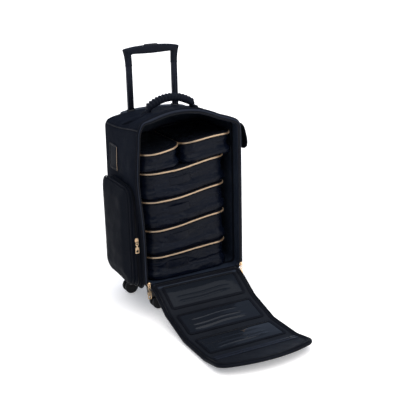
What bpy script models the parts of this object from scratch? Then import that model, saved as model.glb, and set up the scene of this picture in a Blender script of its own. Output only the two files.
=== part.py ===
"""Makeup train case: a soft-sided rolling case with a fold-down front, stacked pouches and a trolley.

Every piece is built in the case's own frame, in metres, with +Z up and the opening towards -Y.
The case_frame empty then sets the origin under the middle of the whole object, on the floor.
"""

import math

import bmesh
import bpy
from mathutils import Matrix, Vector

# Driving dimensions, in metres.
GAP = 0.0003
BODY_WIDTH = 0.350
BODY_BOTTOM = 0.104
FRONT_Y = -0.130
BACK_Y = 0.165
BACK_RADIUS = 0.030
FRONT_SHOULDER = 0.614
FRONT_SLOPE = 24.0
REAR_SHOULDER = 0.603
REAR_SLOPE = 9.0
TOP_CORNER = 0.032
BOTTOM_CORNER = 0.020
WALL = 0.008
CHAMBER_BACK = 0.118
BOARD = 0.005
TOP_SEAM = 0.560
BASE_SEAM = 0.126

FRAME_DEPTH = 0.008
FRAME_FACE = 0.0135
HINGE_Y = FRONT_Y - 0.0045
HINGE_Z = 0.112
HINGE_HALF = 0.162

DOOR_HALF_WIDTH = 0.157
DOOR_TOP_GAP = 0.0055
DOOR_TOP_CORNER = 0.038
DOOR_FOOT_CORNER = 0.030
DOOR_THICKNESS = 0.008
DOOR_START = 0.0055
DOOR_JOINT_GAP = 0.0008
DOOR_LENGTHS = {"lower": 0.125, "middle": 0.125, "upper": 0.130, "tip": 0.134}
DOOR_REST_TURNS = {"lower": 121.4, "middle": -15.6, "upper": -15.8, "tip": -11.0}
POCKET_THICKNESS = 0.004
POCKET_HALF_WIDTH = 0.1335
POCKET_STARTS = {"lower": 0.018, "middle": 0.010, "upper": 0.010}
POCKET_END = 0.012

PULL_WIDTH = 0.008
PULL_THICKNESS = 0.005
PULL_CLEARANCE = GAP + 0.003
SLIDER_HALF = 0.006
TAB_INSET = 0.0008
TAB_OVERLAP = 0.001
DOOR_PULL_X = 0.1672
DOOR_PULL_Z = 0.118
DOOR_TAB = 0.048
SIDE_PULL_Z = 0.262
SIDE_TAB = 0.042

TUBE_X = 0.081
TUBE_Y = 0.143
TUBE_SIZE = (0.021, 0.014)
OUTER_TUBE_SIZE = (0.0265, 0.0195)
TUBE_WALL = 0.0018
TUBE_CORNER = 0.004
BORE_CORNER = 0.0024
OUTER_TUBE_BOTTOM = 0.145
OUTER_TUBE_TOP = 0.590
GRIP_TOP = 0.816
GRIP_RISE = 0.006
GRIP_BOTTOM = 0.796
GRIP_HALF_WIDTH = 0.0965
GRIP_DEPTH = 0.026
SLEEVE_BOTTOM = 0.758
TUBE_BOTTOM = 0.345
BEZEL = (0.236, 0.034, 0.009)
BEZEL_Z = 0.595
BEZEL_CORNER = 0.008
SLOT_CLEARANCE = 0.0012
THROAT_CLEARANCE = (0.003, 0.002)
THROAT_DEPTH = 0.010
BRACKET_HEIGHT = 0.012
BRACKET_HALF_DEPTH = 0.009
BRACKET_OVERHANG = 0.004
GRIP_CORNER = 0.014
GRIP_CROWN = 0.6
SLEEVE_CORNER = 0.005
SLEEVE_OVERLAP = 0.010
SLEEVE_HALVES = ((0.0125, 0.009), (0.0145, 0.012))
BUTTON_HALF = (0.024, 0.008)
BUTTON_HEIGHT = 0.0035
BUTTON_DEPTH = 0.010
BUTTON_TRAVEL = 0.004
BUTTON_EDGE = 0.0015

HANDLE_Y = 0.010
HANDLE_PIVOT_Z = 0.640
HANDLE_HALF_SPAN = 0.084
HANDLE_RISE = 0.032
HANDLE_SECTION = (0.014, 0.0105)
HANDLE_STEPS = 14
HANDLE_SIDES = 12
MOUNT_SIZE = (0.015, 0.036, 0.036)
MOUNT_ABOVE_PIVOT = 0.0125
MOUNT_CLEARANCE = 0.0005
MOUNT_EDGE = 0.004

CASTER_X = 0.124
CASTER_Y = {"front": -0.072, "rear": 0.088}
CASTER_TRAIL = 0.014
WHEEL_RADIUS = 0.023
WHEEL_WIDTH = 0.010
WHEEL_SPACING = 0.023
AXLE_RADIUS = 0.003
HOUSING_TOP = 0.0785
HOUSING_RADIUS = 0.021
CUP_HEIGHT = 0.012
HOOD_INSET = 0.001
HOOD_CLEARANCE = 0.002
WEB_HALF = 0.009
WEB_REACH = 0.010
WEB_DROP = 0.008
WEB_CLEARANCE = 0.0008

TRAY_BOTTOM = 0.079
TRAY_WALL = 0.004
TRAY_SIDE = 0.004
TRAY_FRONT = 0.026
TRAY_REAR = 0.028
TRAY_CORNER = 0.018

POUCH_WIDTH = 0.299
POUCH_LEFT = -0.1605
POUCH_FRONT = -0.1215
POUCH_DEPTH = 0.232
POUCH_HEIGHT = 0.0915
POUCH_FLOOR = 0.113
POUCH_CORNER = 0.030
POUCH_WALL = 0.003
POUCH_CHAMFER = 0.008
LID_HEIGHT = 0.008
POUCH_CLEARANCE = 0.0008
SMALL_HEIGHT = 0.076
SMALL_WIDTHS = (0.135, 0.180)
SMALL_GAP = 0.002

SIDE_POCKET_FRONT = -0.110
SIDE_POCKET_BACK = 0.100
SIDE_POCKET_BOTTOM = 0.112
SIDE_POCKET_TOP = 0.428
SIDE_POCKET_DEPTH = 0.030
SIDE_POCKET_COVER = 0.013
SIDE_POCKET_CORNER = 0.035
SIDE_POCKET_WALL = 0.005
SIDE_HINGE_INSET = 0.002
COVER_LOOPS = ((0.0, 0.0), (0.004, 0.0), (0.009, 0.004), (SIDE_POCKET_COVER, 0.014))

TOOL_POCKET_FRONT = -0.118
TOOL_POCKET_BACK = 0.030
TOOL_POCKET_BOTTOM = 0.506
TOOL_POCKET_TOP = 0.580
TOOL_POCKET_DEPTH = 0.020
TOOL_POCKET_WALL = 0.003
FLAP_THICKNESS = 0.004
FLAP_OVERHANG = 0.002
FLAP_RISE = 0.004

ID_WINDOW_LOW = (0.030, 0.448)
ID_WINDOW_HIGH = (0.100, 0.532)
ID_WINDOW_THICKNESS = 0.003
ID_WINDOW_EDGE = 0.001

ARC_STEPS = 5
CROWN_STEPS = 10
CUTTER_REACH = 0.05
SMOOTH_ANGLE = 35
LEFT_REACH = BODY_WIDTH / 2 + GAP * 2 + SIDE_POCKET_DEPTH + SIDE_POCKET_COVER
RIGHT_REACH = BODY_WIDTH / 2 + GAP * 2 + TOOL_POCKET_DEPTH + FLAP_THICKNESS

# Colours as RGB, with roughness and metallic.
FINISHES = {
    "nylon": ((0.022, 0.024, 0.032), 0.75, 0.0),
    "lining": ((0.016, 0.017, 0.024), 0.85, 0.0),
    "trim": ((0.012, 0.012, 0.016), 0.6, 0.0),
    "black_plastic": ((0.018, 0.018, 0.021), 0.4, 0.0),
    "tube_metal": ((0.030, 0.031, 0.035), 0.35, 0.9),
    "wheel_rubber": ((0.015, 0.015, 0.017), 0.6, 0.0),
    "gold": ((0.80, 0.62, 0.38), 0.3, 1.0),
    "clear_vinyl": ((0.60, 0.63, 0.68), 0.12, 0.0),
}


def clear_scene():
    for old in list(bpy.data.objects):
        bpy.data.objects.remove(old, do_unlink=True)


def make_collections():
    parts = bpy.data.collections.new("makeup_train_case")
    cutters = bpy.data.collections.new("cutters")
    for collection in (parts, cutters):
        bpy.context.scene.collection.children.link(collection)
    cutters.hide_render = True
    return parts, cutters


def make_material(part_name, finish):
    colour, roughness, metallic = FINISHES[finish]
    material = bpy.data.materials.new(part_name + "_" + finish)
    material.use_nodes = True
    shader = material.node_tree.nodes["Principled BSDF"]
    shader.inputs["Base Color"].default_value = (*colour, 1.0)
    shader.inputs["Roughness"].default_value = roughness
    shader.inputs["Metallic"].default_value = metallic
    return material


def add_empty(name, location, parent=None, turn=0.0):
    """A frame on a joint's axis, turned about X by turn degrees."""
    empty = bpy.data.objects.new(name, None)
    PARTS.objects.link(empty)
    empty.location = location
    empty.rotation_euler = (math.radians(turn), 0.0, 0.0)
    empty.parent = parent
    return empty


def add_part(name, shape, finish, parent, location=(0.0, 0.0, 0.0)):
    """Makes the bmesh a named part with its own material, at a place in its parent's frame."""
    bmesh.ops.recalc_face_normals(shape, faces=shape.faces)
    mesh = bpy.data.meshes.new(name)
    shape.to_mesh(mesh)
    shape.free()
    mesh.materials.append(make_material(name, finish))
    mesh.shade_smooth()
    mesh.set_sharp_from_angle(angle=math.radians(SMOOTH_ANGLE))
    part = bpy.data.objects.new(name, mesh)
    part.location = location
    part.parent = parent
    PARTS.objects.link(part)
    return part


def add_cutter(name, shape, parent):
    bmesh.ops.recalc_face_normals(shape, faces=shape.faces)
    mesh = bpy.data.meshes.new(name)
    shape.to_mesh(mesh)
    shape.free()
    cutter = bpy.data.objects.new(name, mesh)
    cutter.parent = parent
    cutter.hide_render = True
    cutter.display_type = "WIRE"
    CUTTERS.objects.link(cutter)
    return cutter


def boolean(part, cutter, operation="DIFFERENCE"):
    modifier = part.modifiers.new(operation.lower(), "BOOLEAN")
    modifier.object = cutter
    modifier.operation = operation


def soften(part, width, segments=2):
    """Rounds the part's sharp edges."""
    modifier = part.modifiers.new("soft_edges", "BEVEL")
    modifier.width = width
    modifier.segments = segments
    modifier.limit_method = "ANGLE"
    modifier.angle_limit = math.radians(50)


def box(low, high):
    shape = bmesh.new()
    bmesh.ops.create_cube(shape, size=1.0)
    low, high = Vector(low), Vector(high)
    bmesh.ops.scale(shape, vec=high - low, verts=shape.verts)
    bmesh.ops.translate(shape, vec=(low + high) / 2, verts=shape.verts)
    return shape


def cylinder(radius, depth, centre, axis="Z", segments=24):
    shape = bmesh.new()
    bmesh.ops.create_cone(
        shape, cap_ends=True, segments=segments, radius1=radius, radius2=radius, depth=depth
    )
    turns = {"X": (0, 90, 0), "Y": (90, 0, 0), "Z": (0, 0, 0)}[axis]
    for index, turn in enumerate(turns):
        if turn:
            about = [float(index == other) for other in range(3)]
            matrix = Matrix.Rotation(math.radians(turn), 3, about)
            bmesh.ops.rotate(shape, cent=(0, 0, 0), matrix=matrix, verts=shape.verts)
    bmesh.ops.translate(shape, vec=centre, verts=shape.verts)
    return shape


def bridge(shape, loop, following):
    count = len(loop)
    for index in range(count):
        after = (index + 1) % count
        shape.faces.new((loop[index], loop[after], following[after], following[index]))


def lofted(outer, inner=(), through=False):
    """A closed solid through a row of outlines; inner hollows it, from its last end or right through."""
    shape = bmesh.new()
    outside = [[shape.verts.new(point) for point in outline] for outline in outer]
    for loop, following in zip(outside, outside[1:]):
        bridge(shape, loop, following)
    if not inner:
        shape.faces.new(outside[0])
        shape.faces.new(outside[-1])
        return shape
    inside = [[shape.verts.new(point) for point in outline] for outline in inner]
    for loop, following in zip(inside, inside[1:]):
        bridge(shape, loop, following)
    bridge(shape, outside[-1], inside[-1])
    if through:
        bridge(shape, outside[0], inside[0])
    else:
        shape.faces.new(outside[0])
        shape.faces.new(inside[0])
    return shape


def sliced(shape, axis, low=None, high=None):
    """Keeps what lies between two planes across an axis and closes the cuts."""
    for place, side in ((low, -1.0), (high, 1.0)):
        if place is None:
            continue
        point = [place if index == axis else 0.0 for index in range(3)]
        normal = [side if index == axis else 0.0 for index in range(3)]
        everything = shape.verts[:] + shape.edges[:] + shape.faces[:]
        cut = bmesh.ops.bisect_plane(
            shape, geom=everything, plane_co=point, plane_no=normal, clear_outer=True, dist=1e-6
        )
        edges = [item for item in cut["geom_cut"] if isinstance(item, bmesh.types.BMEdge)]
        bmesh.ops.holes_fill(shape, edges=edges, sides=0)
    return shape


def arc(centre_x, centre_z, radius, start, end):
    """Points along an arc, by its angles in degrees."""
    points = []
    for step in range(ARC_STEPS + 1):
        angle = math.radians(start + (end - start) * step / ARC_STEPS)
        points.append((centre_x + radius * math.cos(angle), centre_z + radius * math.sin(angle)))
    return points


def arch_outline(half_width, bottom, shoulder, slope, top_radius, bottom_radius):
    """A rounded rectangle with an arched top, which meets its corner arcs at slope degrees."""
    right, low = half_width - top_radius, half_width - bottom_radius
    centre_z = shoulder - top_radius
    points = arc(-low, bottom + bottom_radius, bottom_radius, 180, 270)
    points += arc(low, bottom + bottom_radius, bottom_radius, 270, 360)
    points += arc(right, centre_z, top_radius, 0, 90 - slope)
    edge_x, edge_z = points[-1]
    sine, cosine = math.sin(math.radians(slope)), math.cos(math.radians(slope))
    arch_radius = edge_x / sine
    for step in range(1, CROWN_STEPS):
        angle = math.radians(slope) * (1 - 2 * step / CROWN_STEPS)
        points.append((arch_radius * math.sin(angle), edge_z + arch_radius * (math.cos(angle) - cosine)))
    points += arc(-right, centre_z, top_radius, 90 + slope, 180)
    return points


def body_outline(y, inset=0.0):
    """The case's outline across Y, drawn in from the skin by inset."""
    share = (y - FRONT_Y) / (BACK_Y - FRONT_Y)
    shoulder = FRONT_SHOULDER + (REAR_SHOULDER - FRONT_SHOULDER) * share
    slope = FRONT_SLOPE + (REAR_SLOPE - FRONT_SLOPE) * share
    outline = arch_outline(
        BODY_WIDTH / 2 - inset,
        BODY_BOTTOM + inset,
        shoulder - inset,
        slope,
        TOP_CORNER - inset,
        BOTTOM_CORNER - inset,
    )
    return [Vector((x, y, z)) for x, z in outline]


def rounded_rectangle(centre, half_size, radius, plane, level):
    """Corner arcs joined by straight sides, in the XY, YZ or XZ plane at a level of the third axis."""
    centre_u, centre_v = centre
    inner_u, inner_v = half_size[0] - radius, half_size[1] - radius
    flat = []
    for side_u, side_v, start in ((1, 1, 0), (-1, 1, 90), (-1, -1, 180), (1, -1, 270)):
        corner = (centre_u + side_u * inner_u, centre_v + side_v * inner_v)
        flat += arc(*corner, radius, start, start + 90)
    if plane == "XY":
        return [Vector((u, v, level)) for u, v in flat]
    if plane == "YZ":
        return [Vector((level, u, v)) for u, v in flat]
    return [Vector((u, level, v)) for u, v in flat]


def body_walls():
    """The sewn shell's five walls: a ring around the chamber cut at its seams, and the board behind."""
    front, back = FRONT_Y, CHAMBER_BACK - GAP

    def ring():
        outer = [body_outline(y) for y in (front, back)]
        inner = [body_outline(y, WALL) for y in (front, back)]
        return lofted(outer, inner, through=True)

    add_part("top_wall", sliced(ring(), 2, low=TOP_SEAM), "nylon", CASE)
    add_part("base_wall", sliced(ring(), 2, high=BASE_SEAM - GAP), "nylon", CASE)
    middle = (BASE_SEAM, TOP_SEAM - GAP)
    add_part("left_wall", sliced(sliced(ring(), 2, *middle), 0, high=0.0), "nylon", CASE)
    add_part("right_wall", sliced(sliced(ring(), 2, *middle), 0, low=0.0), "nylon", CASE)
    board = [body_outline(y) for y in (CHAMBER_BACK, CHAMBER_BACK + BOARD)]
    add_part("back_board", lofted(board), "lining", CASE)


def back_cover():
    """The rounded rear skin, a tray that holds the trolley against the board."""
    start = CHAMBER_BACK + BOARD + GAP
    outer = [body_outline(start)]
    inner = [body_outline(start, WALL)]
    for step in range(ARC_STEPS + 1):
        angle = math.pi / 2 * step / ARC_STEPS
        drawn_in = BACK_RADIUS * (1 - math.cos(angle))
        y = BACK_Y - BACK_RADIUS + BACK_RADIUS * math.sin(angle)
        outer.append(body_outline(y, drawn_in))
        inner.append(body_outline(y - WALL * math.sin(angle), drawn_in + WALL * math.cos(angle)))
    cover = add_part("back_cover", lofted(outer[::-1], inner[::-1]), "nylon", CASE)
    width, depth, height = BEZEL
    notch = box(
        (-width / 2 - GAP, TUBE_Y - depth / 2 - GAP, BEZEL_Z - GAP),
        (width / 2 + GAP, TUBE_Y + depth / 2 + GAP, BEZEL_Z + height * 4),
    )
    boolean(cover, add_cutter("bezel_notch", notch, CASE))
    half_x = TUBE_X + OUTER_TUBE_SIZE[0] / 2 + THROAT_CLEARANCE[0]
    half_y = OUTER_TUBE_SIZE[1] / 2 + THROAT_CLEARANCE[1]
    throat = box(
        (-half_x, TUBE_Y - half_y, OUTER_TUBE_TOP - THROAT_DEPTH), (half_x, TUBE_Y + half_y, BEZEL_Z)
    )
    boolean(cover, add_cutter("tube_throat", throat, CASE))


def front_frame():
    """The zip tape's stiff edge around the opening, open at the bottom where the door hangs."""
    depths = (FRONT_Y - FRAME_DEPTH, FRONT_Y - GAP)
    outer = [[Vector((p.x, y, p.z)) for p in body_outline(FRONT_Y)] for y in depths]
    inner = [[Vector((p.x, y, p.z)) for p in body_outline(FRONT_Y, FRAME_FACE)] for y in depths]
    frame = add_part("front_zip_frame", lofted(outer, inner, through=True), "trim", CASE)
    slot = box(
        (-HINGE_HALF, FRONT_Y - CUTTER_REACH, 0.0), (HINGE_HALF, FRONT_Y + CUTTER_REACH, BASE_SEAM)
    )
    boolean(frame, add_cutter("hinge_slot", slot, CASE))


def base_tray():
    """The moulded base that carries the casters."""
    half_x = CASTER_X + HOUSING_RADIUS + TRAY_SIDE
    front, back = CASTER_Y["front"] - TRAY_FRONT, CASTER_Y["rear"] + TRAY_REAR
    centre = (0.0, (front + back) / 2)
    half = (half_x, (back - front) / 2)
    inner_half = (half[0] - TRAY_WALL, half[1] - TRAY_WALL)
    top = BODY_BOTTOM - GAP
    outer = [rounded_rectangle(centre, half, TRAY_CORNER, "XY", z) for z in (TRAY_BOTTOM, top)]
    inner = [
        rounded_rectangle(centre, inner_half, TRAY_CORNER - TRAY_WALL, "XY", z)
        for z in (TRAY_BOTTOM + TRAY_WALL, top)
    ]
    add_part("base_tray", lofted(outer, inner), "black_plastic", CASE)


def caster(side, end):
    """A swivelling twin-wheel caster: fixed cup, fork and a pair of wheels on one axle."""
    name = end + "_" + side + "_caster"
    x = CASTER_X * (-1 if side == "left" else 1)
    y = CASTER_Y[end]
    cup_low = HOUSING_TOP - CUP_HEIGHT
    cup = cylinder(HOUSING_RADIUS, CUP_HEIGHT, (x, y, HOUSING_TOP - CUP_HEIGHT / 2))
    add_part(name + "_cup", cup, "black_plastic", CASE)

    pivot = add_empty(name + "_swivel", (x, y, 0.0), CASE)
    trail = CASTER_TRAIL * (1 if end == "front" else -1)
    hood_low = WHEEL_RADIUS * 2 + HOOD_CLEARANCE
    hood_height = cup_low - GAP - hood_low
    hood = cylinder(HOUSING_RADIUS - HOOD_INSET, hood_height, (0, 0, hood_low + hood_height / 2))
    fork = add_part(name + "_fork", hood, "black_plastic", pivot)
    web_half = WHEEL_SPACING / 2 - WHEEL_WIDTH / 2 - WEB_CLEARANCE
    web = box(
        (min(-WEB_REACH, trail - WEB_HALF), -web_half, WHEEL_RADIUS - WEB_DROP),
        (max(WEB_REACH, trail + WEB_HALF), web_half, hood_low + hood_height / 2),
    )
    boolean(fork, add_cutter(name + "_web", web, pivot), "UNION")
    bore = cylinder(AXLE_RADIUS + GAP, CUTTER_REACH, (trail, 0, WHEEL_RADIUS), "Y", 12)
    boolean(fork, add_cutter(name + "_bore", bore, pivot))

    axle = add_empty(name + "_axle", (trail, 0.0, WHEEL_RADIUS), pivot)
    wheels = add_part(
        name + "_wheels", cylinder(AXLE_RADIUS, WHEEL_SPACING, (0, 0, 0), "Y", 12), "wheel_rubber", axle
    )
    for offset in (-WHEEL_SPACING / 2, WHEEL_SPACING / 2):
        tread = cylinder(WHEEL_RADIUS, WHEEL_WIDTH, (0, offset, 0), "Y", 32)
        boolean(wheels, add_cutter(name + "_tread", tread, axle), "UNION")


def trolley_tube(side):
    """One telescopic leg: a fixed outer channel and a sliding inner tube."""
    x = TUBE_X * (-1 if side == "left" else 1)
    outer_half = [size / 2 for size in OUTER_TUBE_SIZE]
    bore_half = [half - TUBE_WALL for half in outer_half]
    levels = (OUTER_TUBE_BOTTOM, OUTER_TUBE_TOP)
    outer = [rounded_rectangle((x, TUBE_Y), outer_half, TUBE_CORNER, "XY", z) for z in levels]
    inner = [rounded_rectangle((x, TUBE_Y), bore_half, BORE_CORNER, "XY", z) for z in levels]
    add_part("trolley_outer_tube_" + side, lofted(outer, inner, through=True), "tube_metal", CASE)
    half = [size / 2 for size in TUBE_SIZE]
    levels = (TUBE_BOTTOM, SLEEVE_BOTTOM - GAP)
    sliding = [rounded_rectangle((x, 0.0), half, TUBE_CORNER, "XY", z) for z in levels]
    add_part("trolley_inner_tube_" + side, lofted(sliding), "tube_metal", TROLLEY)


def trolley_bezel():
    """The moulded cup flush with the top, with a slot for each tube."""
    width, depth, height = BEZEL
    levels = (BEZEL_Z, BEZEL_Z + height)
    half = (width / 2, depth / 2)
    plate = [rounded_rectangle((0.0, TUBE_Y), half, BEZEL_CORNER, "XY", z) for z in levels]
    bezel = add_part("trolley_bezel", lofted(plate), "black_plastic", CASE)
    slot_half = [size / 2 + SLOT_CLEARANCE for size in TUBE_SIZE]
    slot_levels = (BEZEL_Z - CUTTER_REACH, BEZEL_Z + CUTTER_REACH)
    for side in (-1, 1):
        place = (TUBE_X * side, TUBE_Y)
        slot = [rounded_rectangle(place, slot_half, TUBE_CORNER, "XY", z) for z in slot_levels]
        boolean(bezel, add_cutter("tube_slot", lofted(slot), CASE))


def trolley_bracket():
    """The cross bar that ties the outer tubes' feet together."""
    half_x = TUBE_X + OUTER_TUBE_SIZE[0] / 2 + BRACKET_OVERHANG
    bar = box(
        (-half_x, TUBE_Y - BRACKET_HALF_DEPTH, OUTER_TUBE_BOTTOM - BRACKET_HEIGHT),
        (half_x, TUBE_Y + BRACKET_HALF_DEPTH, OUTER_TUBE_BOTTOM - GAP),
    )
    add_part("trolley_foot_bracket", bar, "black_plastic", CASE)


def grip_outline(y):
    """The grip's front outline: a bar with a rounded, slightly crowned top."""
    centre_x, centre_z = GRIP_HALF_WIDTH - GRIP_CORNER, GRIP_TOP - GRIP_CORNER
    flat = arc(centre_x, centre_z, GRIP_CORNER, 0, 90)
    for share in (1.0, 0.5, 0.0, -0.5, -1.0):
        across = share * GRIP_CROWN
        rise = GRIP_RISE * (1 + math.cos(math.pi * across)) / 2
        flat.append((across * GRIP_HALF_WIDTH, GRIP_TOP + rise))
    flat += arc(-centre_x, centre_z, GRIP_CORNER, 90, 180)
    flat += [(-GRIP_HALF_WIDTH, GRIP_BOTTOM), (GRIP_HALF_WIDTH, GRIP_BOTTOM)]
    return [Vector((x, y, z)) for x, z in flat]


def trolley_grip():
    """The pull grip with a sleeve over each tube, and its sprung release button."""
    bar = lofted([grip_outline(y) for y in (-GRIP_DEPTH / 2, GRIP_DEPTH / 2)])
    grip = add_part("trolley_grip", bar, "black_plastic", TROLLEY)
    levels = (SLEEVE_BOTTOM, GRIP_BOTTOM + SLEEVE_OVERLAP)
    for side in (-1, 1):
        sleeve = [
            rounded_rectangle((side * TUBE_X, 0.0), half, SLEEVE_CORNER, "XY", z)
            for half, z in zip(SLEEVE_HALVES, levels)
        ]
        boolean(grip, add_cutter("sleeve", lofted(sleeve), TROLLEY), "UNION")
    half_x, half_y = BUTTON_HALF
    top = GRIP_TOP + GRIP_RISE
    floor = top - BUTTON_DEPTH
    recess = box(
        (-half_x - GAP, -half_y - GAP, floor - BUTTON_TRAVEL - GAP), (half_x + GAP, half_y + GAP, top + GAP)
    )
    boolean(grip, add_cutter("button_recess", recess, TROLLEY))
    button = box((-half_x, -half_y, floor), (half_x, half_y, top + BUTTON_HEIGHT))
    soften(add_part("trolley_button", button, "black_plastic", TROLLEY), BUTTON_EDGE)


def handle_loops():
    """The carry handle's oval sections along its arc, upright where they meet the mounts."""
    radius = (HANDLE_HALF_SPAN**2 + HANDLE_RISE**2) / (2 * HANDLE_RISE)
    reach = math.asin(HANDLE_HALF_SPAN / radius)
    half_y, half_n = HANDLE_SECTION
    loops = []
    for step in range(HANDLE_STEPS + 1):
        angle = reach * (2 * step / HANDLE_STEPS - 1)
        centre = Vector((radius * math.sin(angle), 0.0, radius * (math.cos(angle) - 1) + HANDLE_RISE))
        outward = Vector((math.sin(angle), 0.0, math.cos(angle)))
        if step in (0, HANDLE_STEPS):
            outward = Vector((0.0, 0.0, 1.0))
        turns = [math.tau * corner / HANDLE_SIDES for corner in range(HANDLE_SIDES)]
        across = Vector((0.0, half_y, 0.0))
        loops.append(
            [centre + outward * (half_n * math.sin(turn)) + across * math.cos(turn) for turn in turns]
        )
    return loops


def handle_mount(side):
    """A mount block whose foot follows the top skin."""
    width, depth, height = MOUNT_SIZE
    x = HANDLE_HALF_SPAN + MOUNT_CLEARANCE + width / 2
    x = -x if side == "left" else x
    top = HANDLE_PIVOT_Z + MOUNT_ABOVE_PIVOT
    block = box(
        (x - width / 2, HANDLE_Y - depth / 2, top - height), (x + width / 2, HANDLE_Y + depth / 2, top)
    )
    mount = add_part("handle_mount_" + side, block, "black_plastic", CASE)
    soften(mount, MOUNT_EDGE, 3)
    top_skin = lofted([body_outline(y) for y in (FRONT_Y, CHAMBER_BACK)])
    bmesh.ops.translate(top_skin, vec=(0, 0, GAP), verts=top_skin.verts)
    boolean(mount, add_cutter("top_skin_" + side, top_skin, CASE))


def carry_handle():
    """The arched top handle, tilting between two mounts."""
    pivot = add_empty("carry_handle_axis", (0.0, HANDLE_Y, HANDLE_PIVOT_Z), CASE)
    add_part("carry_handle", lofted(handle_loops()), "black_plastic", pivot)
    for side in ("left", "right"):
        handle_mount(side)


def door_outline(y):
    outline = arch_outline(
        DOOR_HALF_WIDTH,
        HINGE_Z,
        FRONT_SHOULDER - FRAME_FACE - DOOR_TOP_GAP,
        FRONT_SLOPE,
        DOOR_TOP_CORNER,
        DOOR_FOOT_CORNER,
    )
    return [Vector((x, y, z - HINGE_Z)) for x, z in outline]


def door():
    """The fold-down front as four hinged panels, each laid at its own slope, and their clear pockets."""
    parent, place = CASE, (0.0, HINGE_Y, HINGE_Z)
    start = 0.0
    for name, length in DOOR_LENGTHS.items():
        frame = add_empty("door_" + name + "_axis", place, parent, DOOR_REST_TURNS[name])
        half = DOOR_THICKNESS / 2
        panel = lofted([door_outline(y) for y in (-half, half)])
        low = start + (DOOR_START if name == "lower" else DOOR_JOINT_GAP)
        high = None if name == "tip" else start + length - DOOR_JOINT_GAP
        sliced(panel, 2, low, high)
        bmesh.ops.translate(panel, vec=(0, 0, -start), verts=panel.verts)
        add_part("door_" + name + "_panel", panel, "nylon", frame)
        if name in POCKET_STARTS:
            inner = half + GAP
            pocket = box(
                (-POCKET_HALF_WIDTH, inner, POCKET_STARTS[name]),
                (POCKET_HALF_WIDTH, inner + POCKET_THICKNESS, length - POCKET_END),
            )
            add_part("door_" + name + "_clear_pocket", pocket, "clear_vinyl", frame)
        parent, place = frame, (0.0, 0.0, length)
        start += length


def door_reach():
    """How far in front of the case's middle the open door's end lies."""
    reach, turn, start = -HINGE_Y, 0.0, 0.0
    end = max(point.z for point in door_outline(0.0))
    for name, length in DOOR_LENGTHS.items():
        turn += math.radians(DOOR_REST_TURNS[name])
        reach += min(length, end - start) * math.sin(turn)
        start += length
    return reach + DOOR_THICKNESS / 2 * abs(math.cos(turn))


def zip_pull(name, location, tab_length):
    """A zip slider with its hanging tab, as one body."""
    place = add_empty(name + "_rail", location, CASE)
    half_x, half_y = PULL_WIDTH / 2, PULL_THICKNESS / 2
    slider = box((-half_x, -half_y, -SLIDER_HALF), (half_x, half_y, SLIDER_HALF))
    pull = add_part(name, slider, "gold", place)
    half_x, half_y = half_x - TAB_INSET, half_y - TAB_INSET
    tab = box((-half_x, -half_y, -SLIDER_HALF - tab_length), (half_x, half_y, TAB_OVERLAP - SLIDER_HALF))
    boolean(pull, add_cutter(name + "_tab", tab, place), "UNION")


def side_pocket():
    """The deep pocket on the left: a gusset ring, a hinged outer cover and its zip pull."""
    centre = ((SIDE_POCKET_FRONT + SIDE_POCKET_BACK) / 2, (SIDE_POCKET_BOTTOM + SIDE_POCKET_TOP) / 2)
    half = ((SIDE_POCKET_BACK - SIDE_POCKET_FRONT) / 2, (SIDE_POCKET_TOP - SIDE_POCKET_BOTTOM) / 2)
    inner_half = (half[0] - SIDE_POCKET_WALL, half[1] - SIDE_POCKET_WALL)
    inner_corner = SIDE_POCKET_CORNER - SIDE_POCKET_WALL
    face = -BODY_WIDTH / 2 - GAP
    ends = (face, face - SIDE_POCKET_DEPTH)
    outer = [rounded_rectangle(centre, half, SIDE_POCKET_CORNER, "YZ", x) for x in ends]
    inner = [rounded_rectangle(centre, inner_half, inner_corner, "YZ", x) for x in ends]
    add_part("side_pocket_gusset", lofted(outer, inner, through=True), "nylon", CASE)
    x = ends[1] - GAP
    hinge_x = x - SIDE_HINGE_INSET
    hinge = add_empty("side_pocket_hinge", (hinge_x, 0.0, SIDE_POCKET_BOTTOM), CASE)
    loops = []
    for depth, drawn_in in COVER_LOOPS:
        shrunk = (half[0] - drawn_in, half[1] - drawn_in)
        radius = SIDE_POCKET_CORNER - drawn_in
        loops.append(rounded_rectangle(centre, shrunk, radius, "YZ", x - depth))
    cover = lofted(loops)
    bmesh.ops.translate(cover, vec=(-hinge_x, 0, -SIDE_POCKET_BOTTOM), verts=cover.verts)
    add_part("side_pocket_cover", cover, "nylon", hinge)
    place = (face - SIDE_POCKET_DEPTH / 2, SIDE_POCKET_FRONT - PULL_CLEARANCE, SIDE_PULL_Z)
    zip_pull("side_pocket_zip_pull", place, SIDE_TAB)


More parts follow.
